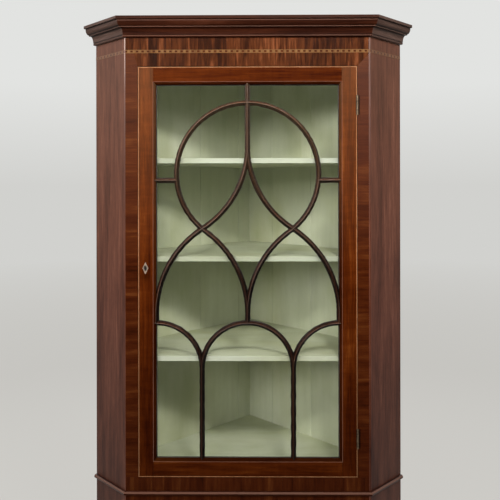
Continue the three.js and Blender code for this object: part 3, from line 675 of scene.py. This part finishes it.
def sheets(
    name, outlines, place, material, body="carcass", slot="crossbanding", proud=VENEER, tones=None,
):
    """Thin flat leaves on a face, each given by its outline, as one piece."""
    corners, faces, values = [], [], []
    for i, outline in enumerate(outlines):
        sides = tube_faces(len(corners), len(outline))
        corners += [place(x, z, out) for out in (-VENEER_SINK, proud) for x, z in outline]
        faces += sides
        values += [tones[i] if tones else 0.5] * len(sides)
    return piece(name, corners, faces, material, body, slot, tones=values)


def rectangle(left, bottom, right, top):
    return [(left, bottom), (right, bottom), (right, top), (left, top)]


# Widths and tones of the leaves of crossbanding, taken in turn.
LEAF_WIDTHS = (0.082, 0.064, 0.097, 0.071, 0.058, 0.090, 0.076)
LEAF_TONE_SHARES = (0.46, 0.55, 0.50, 0.42, 0.53, 0.58, 0.48, 0.44, 0.52)


def clipped(outline, start, end):
    """The part of an outline that lies to the left of the line from start to end."""
    def side(place):
        ahead = (end[0] - start[0], end[1] - start[1])
        return ahead[0] * (place[1] - start[1]) - ahead[1] * (place[0] - start[0])
    kept = []
    for a, b in zip(outline, outline[1:] + outline[:1]):
        if side(a) >= 0:
            kept.append(a)
        if side(a) * side(b) < 0:
            share = side(a) / (side(a) - side(b))
            kept.append((a[0] + (b[0] - a[0]) * share, a[1] + (b[1] - a[1]) * share))
    return kept


def leaf_cuts(start, end, turn):
    """Where leaves meet between two ends. The turn says which width comes first."""
    cuts = [start]
    while True:
        cut = cuts[-1] + LEAF_WIDTHS[(turn + len(cuts)) % len(LEAF_WIDTHS)]
        if cut >= end - min(LEAF_WIDTHS) / 2:
            return cuts + [end]
        cuts.append(cut)


def crossband(name, across, up, grain, turn, material, mitres=()):
    """Leaves of crossbanding that fill a rectangle, side by side."""
    cuts = leaf_cuts(*(up if grain == "x" else across), turn)
    outlines = []
    for a, b in zip(cuts, cuts[1:]):
        a, b = a + HAIRLINE, b - HAIRLINE
        leaf = rectangle(across[0], a, across[1], b) if grain == "x" else rectangle(a, up[0], b, up[1])
        for line in mitres:
            leaf = clipped(leaf, *line)
        if len(leaf) > 2:
            outlines.append(leaf)
    tones = [LEAF_TONE_SHARES[(turn * 2 + i) % len(LEAF_TONE_SHARES)] for i in range(len(outlines))]
    return sheets(name, outlines, on_front, material, tones=tones)


# Veneers of the carcass.

WHOLE_FRONT = (-FRONT_HALF, FRONT_HALF)
OPENING = (-OPENING_HALF, OPENING_HALF)
FRIEZE_ABOVE = (CHEQUER_TOP, CASE_TOP)
FRIEZE_BELOW = (FRIEZE_BOTTOM, CHEQUER_BOTTOM)

# The mitres at the heads of the stiles. Each stile lies to the left of its line.
HEAD_MITRES = {
    "left": ((-OPENING_HALF, FRIEZE_BOTTOM), (-HEAD_MITRE_LEFT, CHEQUER_BOTTOM)),
    "right": ((FRONT_HALF, CHEQUER_BOTTOM), (OPENING_HALF, FRIEZE_BOTTOM)),
}
frieze_mitres = [line[::-1] for line in HEAD_MITRES.values()]
crossband("frieze_veneer_upper", WHOLE_FRONT, FRIEZE_ABOVE, "z", 0, FRIEZE_BAND)
crossband("frieze_veneer_lower", WHOLE_FRONT, FRIEZE_BELOW, "z", 3, FRIEZE_BAND, frieze_mitres)
for side, sign in SIDES:
    stile = sorted((sign * FRONT_HALF, sign * OPENING_HALF))
    lower = (PLINTH_HEIGHT, LOWER_HEAD)
    crossband(f"stile_veneer_{side}", stile, (UPPER_SILL, FRIEZE_BOTTOM), "x", 2 + sign, STILE_BAND)
    crossband(f"stile_head_veneer_{side}", stile, FRIEZE_BELOW, "x", 4, STILE_BAND, [HEAD_MITRES[side]])
    crossband(f"lower_stile_veneer_{side}", stile, lower, "x", 5 + sign, STILE_BAND)
crossband("sill_veneer", WHOLE_FRONT, (BEAD_ABOVE, UPPER_SILL), "z", 5, LOW_BAND)
crossband("lower_head_veneer", WHOLE_FRONT, (LOWER_HEAD, BEAD_BELOW), "z", 1, LOW_BAND)
crossband("lower_sill_veneer", OPENING, (PLINTH_HEIGHT, LOWER_SILL), "z", 4, LOW_BAND)


def chequer(name, place, start, end, line, light, dark):
    """The chequered line of the frieze: light and dark squares between two thin lines."""
    low, high = CHEQUER_BOTTOM + CHEQUER_LINE, CHEQUER_TOP - CHEQUER_LINE
    count = int((end - start) / CHEQUER_PITCH)
    pitch = (end - start) / count
    step = pitch * CHEQUER_DARK_SHARE
    places = [start + pitch * i for i in range(count)]
    parts = {
        "lines": (line, [(start, CHEQUER_BOTTOM, end, low), (start, high, end, CHEQUER_TOP)]),
        "light": (light, [(at + step, low, at + pitch, high) for at in places]),
        "dark": (dark, [(at, low, at + step, high) for at in places]),
    }
    for part, (material, corners) in parts.items():
        outlines = [rectangle(*pair) for pair in corners]
        sheets(f"{name}_{part}", outlines, place, material, slot=None, proud=VENEER + HAIRLINE)


chequer("chequer_front", on_front, -FRONT_HALF, FRONT_HALF, BOXWOOD, BOXWOOD, STAINED)
for side, sign in SIDES:
    chequer(f"chequer_{side}", on_cant(sign), 0.0, CANT_WIDTH, FADED_LINE, FADED_LIGHT, FADED_DARK)

# The heights over which a rounded edge has a painted highlight, paler towards the top, and its tones
# there.
ARRIS_HIGHLIGHT_HEIGHTS = (1.40, 1.99)
ARRIS_HIGHLIGHT_TONES = [(0.4, (80, 54, 45)), (0.75, (99, 72, 64))]
ARRIS_HIGHLIGHT_TOPS = {"left": (166, 143, 134), "right": (101, 78, 71)}


def arris_highlight(side):
    """A rounded edge with a painted highlight, paler towards its top."""
    material, shader = new_material(f"arris_highlight_{side}")
    colour, pores, fibres = wood_colour(shader, "cant", "z")
    share = shader.remap(shader.along(UP), *ARRIS_HIGHLIGHT_HEIGHTS)
    pale = shader.ramp(share, ARRIS_HIGHLIGHT_TONES + [(0.97, ARRIS_HIGHLIGHT_TOPS[side])])
    colour = shader.mix(shader.remap(share, 0.0, 0.5), colour, pale)
    rough = shader.remap(fibres, 0.3, 0.7, 0.28, 0.4)
    shader.set(Base_Color=colour, Roughness=rough, Specular_IOR_Level=0.12)
    shader.bump(pores, PORE_DEPTH, 0.3)
    return material


def arris(name, sign, bottom, top, front_width, material, steps=6):
    """The rounded edge between the front and a cant."""
    cant = on_cant(sign)
    inner = sign * (FRONT_HALF - front_width)
    corners = []
    for z in (bottom, top):
        start = Vector(on_front(inner, z, ARRIS_PROUD))
        middle = Vector(on_front(sign * (FRONT_HALF + ARRIS_PROUD * MITRE), z, ARRIS_PROUD))
        end = Vector(cant(ARRIS_CANT_WIDTH, z, ARRIS_PROUD))
        for share in [i / steps for i in range(steps + 1)]:
            corners.append(start.lerp(middle, share).lerp(middle.lerp(end, share), share))
        corners += [cant(ARRIS_CANT_WIDTH, z, -VENEER_SINK), on_front(inner, z, -VENEER_SINK)]
    piece(name, corners, tube_faces(0, len(corners) // 2), material, slot=None, smooth=True)


for side, sign in SIDES:
    edge = arris_highlight(side)
    arris(f"arris_{side}", sign, BEAD_ABOVE, CASE_TOP, ARRIS_FRONT_WIDTHS[side], edge)
    arris(f"arris_lower_{side}", sign, PLINTH_HEIGHT, BEAD_BELOW, ARRIS_FRONT_WIDTHS[side], edge)


def stringing(door, bottom, top):
    """A mitred line of boxwood round a door."""
    outer = rectangle(-DOOR_HALF, bottom, DOOR_HALF, top)
    half = DOOR_HALF - STRING_WIDTH
    inner = rectangle(-half, bottom + STRING_WIDTH, half, top - STRING_WIDTH)
    sides = [[outer[k], outer[(k + 1) % 4], inner[(k + 1) % 4], inner[k]] for k in range(4)]
    sheets(f"{door}_stringing", sides, on_front, STRING, door, None, STRING_PROUD)


stringing("glazed_door", DOOR_BOTTOM, DOOR_TOP)
stringing("lower_door", LOWER_DOOR_BOTTOM, LOWER_DOOR_TOP)


# Mouldings that run round the front and the two cants.

# The finish of a moulding's front, of its returns, and of the cornice's returns, whose greyer timber is
# a painted sheen.
FRONT_RUN = {"timber": "moulding", "gloss": 0.01, "edge_wear_and_highlight": 0.14}
RETURN_RUN = {"timber": "moulding", "gloss": 0.2, "edge_wear_and_highlight": 0.08, "sheen_share": 0.025}
SHEEN_RUN = {"timber": "return_sheen", "gloss": 0.07, "edge_wear_and_highlight": 0.08, "patchy": 1.2}


def banded(bands, painted_shade=False):
    """Bands with a painted highlight, or darkened as painted shade: a height, their bottom and top from
    it, a share.
    """
    def wear(shader, colour):
        z = shader.along(UP)
        for height, bottom, top, share in bands:
            inside = shader.within(z, height + bottom, height + top)
            if painted_shade:
                colour = shader.dimmed(colour, inside, share)
            else:
                colour = shader.mix(shader.times(inside, share), colour, RUBBED_HIGHLIGHT)
        return colour
    return wear


def moulding(prefix, outline, wear=None, return_wear=None, returns=RETURN_RUN):
    """Runs an outline of reach and height round the carcass in three mitred lengths."""
    plan = {}
    for side, sign in SIDES:
        cant = on_cant(sign)
        corner = (Vector(cant(0.0, 0.0, 0.0)), Vector((sign * MITRE, -1.0, 0.0)))
        plan[side] = [corner, (Vector(cant(CANT_WIDTH, 0.0, 0.0)), Vector(OUTWARD[side]))]
    left, right = plan["left"], plan["right"]
    runs = {"left": left[::-1], "front": (left[0], right[0]), "right": right}
    for name, stations in runs.items():
        places = []
        for base, out in stations:
            places += [base + out * reach + Vector((0.0, 0.0, z)) for reach, z in outline]
        if name == "front":
            timber = wood(grain="x", wear=wear, **FRONT_RUN)
        else:
            timber = wood(grain=name, wear=return_wear, **returns)
        faces = tube_faces(0, len(outline))
        made = piece(f"{prefix}_{name}_run", places, faces, timber, slot="moulding", smooth=True)
        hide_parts(f"{prefix}_{name}")


def round_points(reach, height, across, up, start, end, steps=14):
    """Points along an ellipse about a reach and a height, between two angles in degrees."""
    angles = [math.radians(start + (end - start) * i / steps) for i in range(steps + 1)]
    return [(reach + across * math.cos(a), height + up * math.sin(a)) for a in angles]


BEAD_TOP = CORNICE_FOOT + CORNICE_BEAD * 2
COVE_TOP = BEAD_TOP + COVE_HEIGHT
COVE_MIDDLE = CORNICE_SEAT + CORNICE_BEAD + COVE_REACH
FILLET_TOP = COVE_TOP + FILLET_HEIGHT
OVOLO_TOP = FILLET_TOP + OVOLO_HEIGHT
STEP_TOP = OVOLO_TOP + STEP_HEIGHT
CORNICE_OUTLINE = [
    (-FRAME_THICKNESS, CORNICE_FOOT),
    *round_points(CORNICE_SEAT, CORNICE_FOOT + CORNICE_BEAD, CORNICE_BEAD, CORNICE_BEAD, -90, 90),
    *round_points(COVE_MIDDLE, BEAD_TOP, COVE_REACH, COVE_HEIGHT, 180, 90, 16),
    (FILLET_REACH, COVE_TOP),
    *round_points(FILLET_REACH, OVOLO_TOP, OVOLO_REACH, OVOLO_HEIGHT, -90, 0),
    (FILLET_REACH + OVOLO_REACH, STEP_TOP),
    (CROWN_REACH - CROWN_EDGE, STEP_TOP), (CROWN_REACH, STEP_TOP + CROWN_EDGE),
    (CROWN_REACH, CORNICE_TOP - CROWN_ROUND), (CROWN_REACH - CROWN_ROUND, CORNICE_TOP),
    (-FRAME_THICKNESS, CORNICE_TOP),
]
WAIST_OUTLINE = [
    (MOULDING_GAP, WAIST - WAIST_RADIUS),
    *round_points(WAIST_SEAT, WAIST, WAIST_RADIUS, WAIST_RADIUS, -90, 90, 20),
    (MOULDING_GAP, WAIST + WAIST_RADIUS),
]
PLINTH_OUTLINE = [
    (MOULDING_GAP, 0.0), (PLINTH_REACH - PLINTH_EDGE, 0.0), (PLINTH_REACH, PLINTH_EDGE),
    *round_points(
        PLINTH_REACH - PLINTH_ROUND, PLINTH_HEIGHT - PLINTH_ROUND, PLINTH_ROUND, PLINTH_ROUND, 0, 90,
    ),
    (MOULDING_GAP, PLINTH_HEIGHT),
]
# Painted highlights: paler bands below the edges of the cornice, and over its top.
CORNICE_HIGHLIGHTS = (
    (BEAD_TOP, -0.0036, -0.0012, 0.28),
    (FILLET_TOP, -0.0023, 0.0, 0.22),
    (OVOLO_TOP, -0.0034, -0.0006, 0.20),
    (STEP_TOP, 0.0, CORNICE_TOP - STEP_TOP, 0.04),
)
# Painted shade in the quirks of the cornice returns.
CORNICE_SHADE = (
    (BEAD_TOP, -0.0008, 0.0016, 0.35),
    (COVE_TOP, -0.0022, 0.0001, 0.35),
    (FILLET_TOP, -0.0001, 0.0024, 0.4),
    (OVOLO_TOP, -0.0006, 0.0020, 0.4),
)
# A painted highlight along the top of the waist bead.
WAIST_HIGHLIGHT = ((WAIST, 0.0004, 0.0052, 0.32),)

moulding("cornice", CORNICE_OUTLINE, banded(CORNICE_HIGHLIGHTS), banded(CORNICE_SHADE, painted_shade=True), SHEEN_RUN)
waist_highlight = banded(WAIST_HIGHLIGHT)
moulding("waist_bead", WAIST_OUTLINE, waist_highlight, waist_highlight)
moulding("plinth", PLINTH_OUTLINE)


# Glazing bars, and the putty behind them.

def bar_section():
    """The outline of a bar: a bead between two hollows."""
    quirk = BAR_BEAD + BAR_QUIRK_WIDTH
    edge = BAR_HALF - BAR_SHOULDER
    reach, fall = edge - quirk - BAR_QUIRK_WIDTH, BAR_HOLLOW_FOOT - BAR_HOLLOW_TOP
    hollow = round_points(edge, BAR_HOLLOW_TOP, -reach, fall, 90, 0, 8)
    half = [(BAR_HALF, BAR_BACK), (BAR_HALF, BAR_HOLLOW_FOOT), *hollow]
    half += [(quirk, BAR_QUIRK), (BAR_BEAD, BAR_QUIRK)]
    bead = round_points(0.0, BAR_FRONT + BAR_BEAD, BAR_BEAD, BAR_BEAD, 180, 360, 16)
    return [(-x, y) for x, y in half] + bead + half[::-1]


def putty_section(half):
    back = GLASS_BACK + PUTTY_DEPTH
    tail = half * PUTTY_TAIL_SHARE
    return [(-half, GLASS_BACK), (half, GLASS_BACK), (tail, back), (-tail, back)]


def arc_places(centre_x, centre_z, radius, start, end):
    """Places along an arc on the door, each with its middle and the way across."""
    turn = math.copysign(1, end - start)
    steps = math.ceil(abs(end - start) * radius / BAR_FACET)
    places = []
    for i in range(steps + 1):
        angle = start + (end - start) * i / steps
        ray = Vector((math.cos(angle), math.sin(angle)))
        places.append((Vector((centre_x, centre_z)) + ray * radius, ray * turn))
    return places


def line_places(start, end):
    start, end = Vector(start), Vector(end)
    ahead = (end - start).normalized()
    steps = math.ceil((end - start).length / (BAR_FACET * 3))
    across = Vector((ahead.y, -ahead.x))
    return [(start.lerp(end, i / steps), across) for i in range(steps + 1)]


def swept(name, paths, section, material, slot, wobble=0.0, smooth=True):
    """One piece that follows its paths on the door. A wobble widens it unevenly."""
    corners, faces = [], []
    for places in paths:
        faces += tube_faces(len(corners), len(section), len(places))
        for i, (middle, across) in enumerate(places):
            swing = math.sin(i * 1.7 + middle.x * 260) + math.sin(i * 0.63 + middle.y * 190)
            share = 1 + wobble * swing
            spots = [(middle + across * (x * share), y) for x, y in section]
            corners += [(spot.x, FRONT + y, spot.y) for spot, y in spots]
    return piece(name, corners, faces, material, "glazed_door", slot, smooth=smooth)


def mirrored(places):
    """The same places on the other side of the centre line."""
    return [(Vector((-middle.x, middle.y)), Vector((across.x, -across.y))) for middle, across in places]


ARCADE_RADIUS = SIGHT_HALF / 2
BALLOON_RADIUS = SIGHT_HALF - STUB_LENGTH
BALLOON_Z = SIGHT_TOP - CROWN_DROP - BALLOON_RADIUS
SWEEP_Z = BALLOON_Z - math.sqrt((BALLOON_RADIUS + SWEEP_RADIUS) ** 2 - SWEEP_RADIUS ** 2)
ARCADE_Z = SWEEP_Z - STEM_LENGTH - ARCADE_RADIUS
ARCADE_TOP = ARCADE_Z + ARCADE_RADIUS
LEG_OFFSET = LEG_RADIUS + SWEEP_RADIUS - SIGHT_HALF
APEX_Z = SWEEP_Z + math.sqrt((LEG_RADIUS + SWEEP_RADIUS) ** 2 - LEG_OFFSET ** 2)
STUB_Z = BALLOON_Z - STUB_DROP


def balloon_half():
    """The right half of the balloon: up along a sweep, then round its crown."""
    lean = math.atan2(BALLOON_Z - SWEEP_Z, -SWEEP_RADIUS)
    sweep = arc_places(SWEEP_RADIUS, SWEEP_Z, SWEEP_RADIUS, math.pi, lean)
    crown = arc_places(0, BALLOON_Z, BALLOON_RADIUS, lean - math.pi, math.pi / 2)
    return sweep + crown[1:]


def leg_right():
    """The right leg: down from the apex, out to the stile, and on to the arcade."""
    lower_x = SIGHT_HALF - SWEEP_RADIUS
    lean = math.atan2(APEX_Z - SWEEP_Z, LEG_RADIUS - lower_x)
    upper = arc_places(LEG_RADIUS, APEX_Z, LEG_RADIUS, math.pi, math.pi + lean)
    lower = arc_places(lower_x, SWEEP_Z, SWEEP_RADIUS, lean, 0)
    foot = line_places((SIGHT_HALF, SWEEP_Z), (SIGHT_HALF, ARCADE_TOP))
    return upper + lower[1:] + foot[1:]


def arcade_paths():
    """The middle arch with its two posts, and the half arches to the stiles."""
    foot = SIGHT_BOTTOM - COPE
    whole = arc_places(0, ARCADE_Z, ARCADE_RADIUS, math.pi, 0)
    rise = line_places((-ARCADE_RADIUS, foot), (-ARCADE_RADIUS, ARCADE_Z))
    fall = line_places((ARCADE_RADIUS, ARCADE_Z), (ARCADE_RADIUS, foot))
    past = math.pi / 2 - COPE / ARCADE_RADIUS
    half = arc_places(SIGHT_HALF, ARCADE_Z, ARCADE_RADIUS, math.pi, past)
    return [rise + whole[1:] + fall[1:], half, mirrored(half)]


TRACERY = {
    "balloon": [balloon_half(), mirrored(balloon_half()), line_places((0, ARCADE_TOP), (0, SWEEP_Z))],
    "leg_right": [leg_right()],
    "leg_left": [mirrored(leg_right())],
    "top_stem": [line_places((0, APEX_Z), (0, SIGHT_TOP + COPE))],
    "arcade": arcade_paths(),
    "stub_right": [line_places((BALLOON_RADIUS, STUB_Z), (SIGHT_HALF + COPE, STUB_Z))],
    "stub_left": [line_places((-SIGHT_HALF - COPE, STUB_Z), (-BALLOON_RADIUS, STUB_Z))],
}

# Painted shade and light on a bar: where its colour changes, back from the door's face, and what
# multiplies it.
BAR_SHADES = ((0.0024, 0.0040, 0.25), (0.0048, 0.0060, 2.2), (0.0074, 0.0086, 0.12))
BAR_CREST = 0.00168
BAR_LIGHT = (-0.35, 0, 1)
GLINT = srgb(160, 142, 130)
GLINT_HEIGHTS = (1.00, 1.40)


def bar_shade_and_glint(shader, colour):
    """Painted shade and light by depth in a bar, darkest by the glass; faces turned up and to the left
    painted lighter, the others darker; and a painted highlight along its crest.
    """
    depth = shader.minus(shader.along(BACKWARD), FRONT)
    for start, end, share in BAR_SHADES:
        colour = shader.shaded(colour, shader.remap(depth, start, end, 1.0, share))
    # Painted light and shade by which way a face turns.
    upward = shader.dot(shader.node("NewGeometry").outputs["Normal"], BAR_LIGHT)
    colour = shader.shaded(colour, shader.remap(upward, -0.15, 0.40, 0.12, 1.35))
    # A painted highlight along the crest, stronger higher up the door.
    lit = shader.math("LESS_THAN", depth, BAR_CREST)
    lit = shader.times(lit, shader.remap(upward, 0.02, 0.14))
    lit = shader.times(lit, shader.remap(upward, 0.40, 0.90, 1.0, 0.3))
    lit = shader.times(lit, shader.remap(shader.along(UP), *GLINT_HEIGHTS, 0.05, 0.40))
    return shader.mix(lit, colour, GLINT)


BAR_WOOD = wood("bar", "z", 0.10, wear=bar_shade_and_glint, rough=0.22, tone_and_shade=BAR_HEIGHT_SHADE, sheen_share=0.06)
for name, paths in TRACERY.items():
    bar = swept(f"glazing_bar_{name}_moulded", paths, bar_section(), BAR_WOOD, "glazing_bar")
    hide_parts(f"glazing_bar_{name}")
    # Dark putty, peeking past the bar as painted shade along its edges.
    putty = putty_section(BAR_HALF + PUTTY_PEEK)
    swept(f"putty_{name}", paths, putty, PUTTY, None, wobble=0.05, smooth=False)

sight = rectangle(-SIGHT_HALF, SIGHT_BOTTOM, SIGHT_HALF, SIGHT_TOP)
rebate_paths = [line_places(sight[k], sight[(k + 1) % 4]) for k in range(4)]
rebate_putty = [
    (-PUTTY_PEEK_ROUND, GLASS_BACK), (REBATE, GLASS_BACK),
    (REBATE, GLASS_BACK + PUTTY_DEPTH), (REBATE * PUTTY_FOOT_SHARE, GLASS_BACK + PUTTY_DEPTH),
]
swept("putty_frame", rebate_paths, rebate_putty, PUTTY, None, wobble=0.04, smooth=False)


# Finishes of the pieces that keep their solids.

def dress(material, *names):
    for name in names:
        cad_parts[name].material_slots[0].material = material


# Darker colour close to the glass, and a painted highlight along the crest, in the moulding of the
# door, out from the sight of the glass.
OVOLO_DARKENING = (0.005, 0.009)
OVOLO_HIGHLIGHT = (0.0071, 0.0085)


def sight_highlight_and_hands(shader, colour):
    """The moulding round the glass darker close to it, a painted highlight along its crest, and a dark
    patch left by hands near the keyhole.
    """
    middle = (SIGHT_TOP + SIGHT_BOTTOM) / 2
    from_middle = shader.math("ABSOLUTE", shader.minus(shader.along(UP), middle))
    above = shader.minus(from_middle, SIGHT_TOP - middle)
    beside = shader.minus(shader.math("ABSOLUTE", shader.along(ACROSS)), SIGHT_HALF)
    apart = shader.math("MAXIMUM", beside, above)
    colour = shader.shaded(colour, shader.remap(apart, *OVOLO_DARKENING, 0.45, 1.0))
    crest = shader.within(apart, *OVOLO_HIGHLIGHT)
    colour = shader.mix(shader.times(crest, 0.35), colour, RUBBED_HIGHLIGHT)
    hands = from_keyhole(shader, "glazed_door", HANDS_STRETCH, HANDS_BELOW)
    return shader.shaded(colour, shader.remap(hands, *HANDS_DIRT, 0.5, 1.0))


DOOR_UP = wood("door", "z", 0.006, patchy=1.3, ripple=0.4, wear=sight_highlight_and_hands, tone_and_shade=HEIGHT_SHADE, sheen_share=0.06)
DOOR_ACROSS = wood("door", "x", 0.006, patchy=1.3, ripple=0.25, wear=sight_highlight_and_hands, tone_and_shade=RAIL_HEIGHT_SHADE)
dress(DOOR_UP, "glazed_door_lock_stile", "glazed_door_hinge_stile")
dress(DOOR_ACROSS, "glazed_door_top_rail", "glazed_door_bottom_rail")
dress(wood("flame", "z", 0.02, broad=0.6, patchy=1.2, ripple=0.5, tone_and_shade=LOWER_TONE), "lower_door_panel")
dress(GLASS, "glazed_door_glass")
RAILS = ("frieze_rail", "upper_bottom_rail", "lower_top_rail", "lower_bottom_rail")
dress(wood("crossband", "z", broad=1.6), *RAILS)
for side, sign in SIDES:
    dress(wood("stile", "x", broad=1.8, tone_and_shade=HEIGHT_SHADE), f"upper_stile_{side}", f"lower_stile_{side}")
    dress(painted("z", OUTWARD[side]), f"upper_side_{side}", f"lower_side_{side}")
    outside = boarded(side, (0.74, 1.1), 0.3)
    inside = boarded(side, (0.98, 1.07), 0.83)
    dress(painted("z", WALLWARD[side], outside, seams=inside), f"upper_back_{side}")
    dress(wood("deal", "z", 0.02, wear=outside, rough=0.7), f"lower_back_{side}")
dress(painted("x", UP), "upper_top_board")
dress(painted("x", (0, 0, -1)), "upper_base_board")
dress(painted("x", front=SHELF_EDGE_SHADE), "upper_shelf_1", "upper_shelf_2", "upper_shelf_3")
dress(wood("deal", "x"), "lower_top_board", "lower_shelf", "lower_base_board")
for door, place in HINGES:
    dress(BRASS, f"{door}_hinge_{place}_frame_leaf", f"{door}_hinge_{place}_door_leaf")
for door in DOORS:
    dress(IRON, f"{door}_lock_case")
    dress(BRASS, f"{door}_lock_bolt")
    dress(BONE, f"{door}_escutcheon")


# Slotted screws in the hinges and the locks.

SCREW_RADIUS = 0.0030
SCREW_SLOT = 0.0008
SCREW_PROUD = 0.00016
SCREW_CHAMFER = 0.0003
SCREW_SINK = 0.0001
SEAT_RADIUS = 0.0033
SEAT_PROUD = 0.00003

# How far round the first screw's slot is turned, and each next one from the last.
FIRST_TURN = 0.4
NEXT_TURN = 0.9

# Places of screws: above the middle of a leaf or a case, and back or along from its edge.
LEAF_SCREWS = ((-0.0190, 0.0080), (0.0, 0.0125), (0.0190, 0.0080))
CASE_SCREWS = ((-0.0200, 0.0050), (-0.0200, 0.0285), (0.0200, 0.0050), (0.0200, 0.0285))


def prism(corners, faces, outline, place, low, high, inset=1.0):
    """Adds a solid over an outline, between two heights above its face. Its top may be inset."""
    faces += tube_faces(len(corners), len(outline))
    middle = sum((Vector(spot) for spot in outline), Vector((0, 0))) / len(outline)
    corners += [place(x, y, low) for x, y in outline]
    corners += [place(*(middle + (Vector(spot) - middle) * inset), high) for spot in outline]


def about(spot, out, across):
    """Places about a spot on a face. Out points away from it, and across lies in it."""
    up = out.cross(across)

    def place(x, y, proud):
        return spot + across * x + up * y + out * proud
    return place


def screws(name, spots, out, across, body):
    """Screw heads on a face, in two halves beside their slots, and dark seats under them, painted shade
    in the slots and round the heads.
    """
    lift = math.degrees(math.asin(SCREW_SLOT / 2 / SCREW_RADIUS))
    inset = 1 - SCREW_CHAMFER / SCREW_RADIUS
    heads, seats = ([], []), ([], [])
    for i, spot in enumerate(spots):
        place = about(Vector(spot), Vector(out), Vector(across))
        turn = math.degrees(FIRST_TURN + NEXT_TURN * i)
        for start in (turn, turn + 180):
            ends = (start + lift, start + 180 - lift)
            outline = round_points(0, 0, SCREW_RADIUS, SCREW_RADIUS, *ends, 12)
            prism(*heads, outline, place, -SCREW_SINK, SCREW_PROUD, inset)
        whole = round_points(0, 0, SEAT_RADIUS, SEAT_RADIUS, turn, turn + 360, 24)[:-1]
        prism(*seats, whole, place, -SCREW_SINK, SEAT_PROUD)
    piece(f"{name}_screws", *heads, SCREW_IRON, body, "iron")
    piece(f"{name}_screw_seats", *seats, SEAT_SHADE, body, "iron")


for door in DOORS:
    for place in ("top", "bottom"):
        leaves = (("frame", -1, OPENING_HALF, "carcass"), ("door", 1, DOOR_HALF, door))
        for leaf, way, face, body in leaves:
            hinge = f"{door}_hinge_{place}_{leaf}_leaf"
            middle = sum(heights(hinge)) / 2
            spots = [(face, FRONT + back, middle + above) for above, back in LEAF_SCREWS]
            screws(hinge, spots, (way, 0, 0), BACKWARD, body)
    low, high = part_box(f"{door}_lock_case")
    middle = (low.z + high.z) / 2
    spots = [(low.x + along, high.y, middle + above) for above, along in CASE_SCREWS]
    screws(f"{door}_lock_case", spots, BACKWARD, ACROSS, door)


# Stage, light and camera.

FLOOR_RADIUS = 40.0
FLOOR_SIDES = 96
FLOOR_NEAR = 1.5
FLOOR_FAR = 12.0
PALE_NEAR = srgb(209, 207, 202)
PALE_FAR = srgb(209, 209, 206)
PALE_WALL = [(0.0, (209, 209, 206)), (0.15, (226, 227, 225))]
SOFT_LIGHT = srgb(240, 238, 232)


def pale_floor():
    """A round pale floor, so wide that its edge lies at the horizon."""
    edge = round_points(0, 0, FLOOR_RADIUS, FLOOR_RADIUS, 0, 360, FLOOR_SIDES)[:-1]
    corners = [(*spot, 0.0) for spot in edge]
    mesh = bpy.data.meshes.new("floor")
    mesh.from_pydata(corners, [], [list(range(FLOOR_SIDES))])
    material, shader = new_material("floor")
    shader.set(Base_Color=PALE_FAR, Roughness=0.9, Specular_IOR_Level=0.1)
    distance = shader.node("VectorMath", {0: shader.position()}, operation="LENGTH").outputs["Value"]
    share = shader.remap(distance, FLOOR_NEAR, FLOOR_FAR)
    glow = shader.node("Emission", {"Color": shader.mix(share, PALE_NEAR, PALE_FAR)})
    seen = shader.times(shader.pale_rays(), shader.remap(share, 0.0, 1.0, 0.78, 1.0))
    shader.show(seen, shader.surface, glow)
    mesh.materials.append(material)
    placed("floor", mesh)


# Where each lamp is, what it points at, its width and height, and its power in watts.
LAMPS = {
    "key_left": ((-0.36, -1.40, 2.16), (0.0, -0.1, 1.35), 0.28, 0.20, 6),
    "key_right": ((0.38, -1.84, 2.56), (0.0, -0.1, 1.35), 0.30, 0.22, 29),
    "broad": ((-1.90, -4.60, 2.75), (0.0, 0.0, 1.40), 1.80, 1.20, 114),
    "side_left": ((-1.90, -0.60, 2.30), (-0.4, -0.2, 1.6), 1.0, 1.2, 16),
    "side_right": ((1.95, -1.60, 2.25), (0.1, -0.1, 1.25), 0.6, 0.6, 18),
    "back_left": ((-1.30, 2.60, 2.30), (-0.2, 0.1, 1.2), 1.2, 1.2, 20),
    "back_right": ((1.30, 2.60, 2.30), (0.2, 0.1, 1.2), 1.2, 1.2, 20),
}


for name, (place, target, width, height, power) in LAMPS.items():
    light = bpy.data.lights.new(name, "AREA")
    light.shape = "RECTANGLE"
    light.size = width
    light.size_y = height
    light.energy = power
    made = placed(name, light)
    made.location = place
    made.rotation_euler = (Vector(target) - Vector(place)).to_track_quat("-Z", "Y").to_euler()
    made.visible_camera = False


def studio_world():
    """Soft light from all round, and a pale background that brightens upwards."""
    world = bpy.data.worlds.new("studio")
    scene.world = world
    shader = Shader(world)
    height = shader.dot(shader.node("TexCoord").outputs["Generated"], UP)
    pale = shader.ramp(height, PALE_WALL)
    soft = shader.node("Background", {"Color": SOFT_LIGHT, "Strength": 0.26})
    shader.show(shader.pale_rays(), soft, shader.node("Background", {"Color": pale}))


pale_floor()
studio_world()

# The camera of the photograph. Its sensor and lens are in millimetres.
CAMERA_PLACE = (0.0238, -2.0888, 1.5769)
CAMERA_TURN = 0.0091
CAMERA_ROLL = 0.0015
camera_data = bpy.data.cameras.new("camera")
camera_data.sensor_width = 36.0
camera_data.lens = 46.11
camera_data.shift_y = -0.129
camera_data.clip_end = FLOOR_RADIUS + FLOOR_FAR
camera = placed("camera", camera_data)
camera.location = CAMERA_PLACE
camera.rotation_euler = (math.pi / 2, CAMERA_ROLL, CAMERA_TURN)
scene.camera = camera
scene.view_settings.view_transform = "Standard"
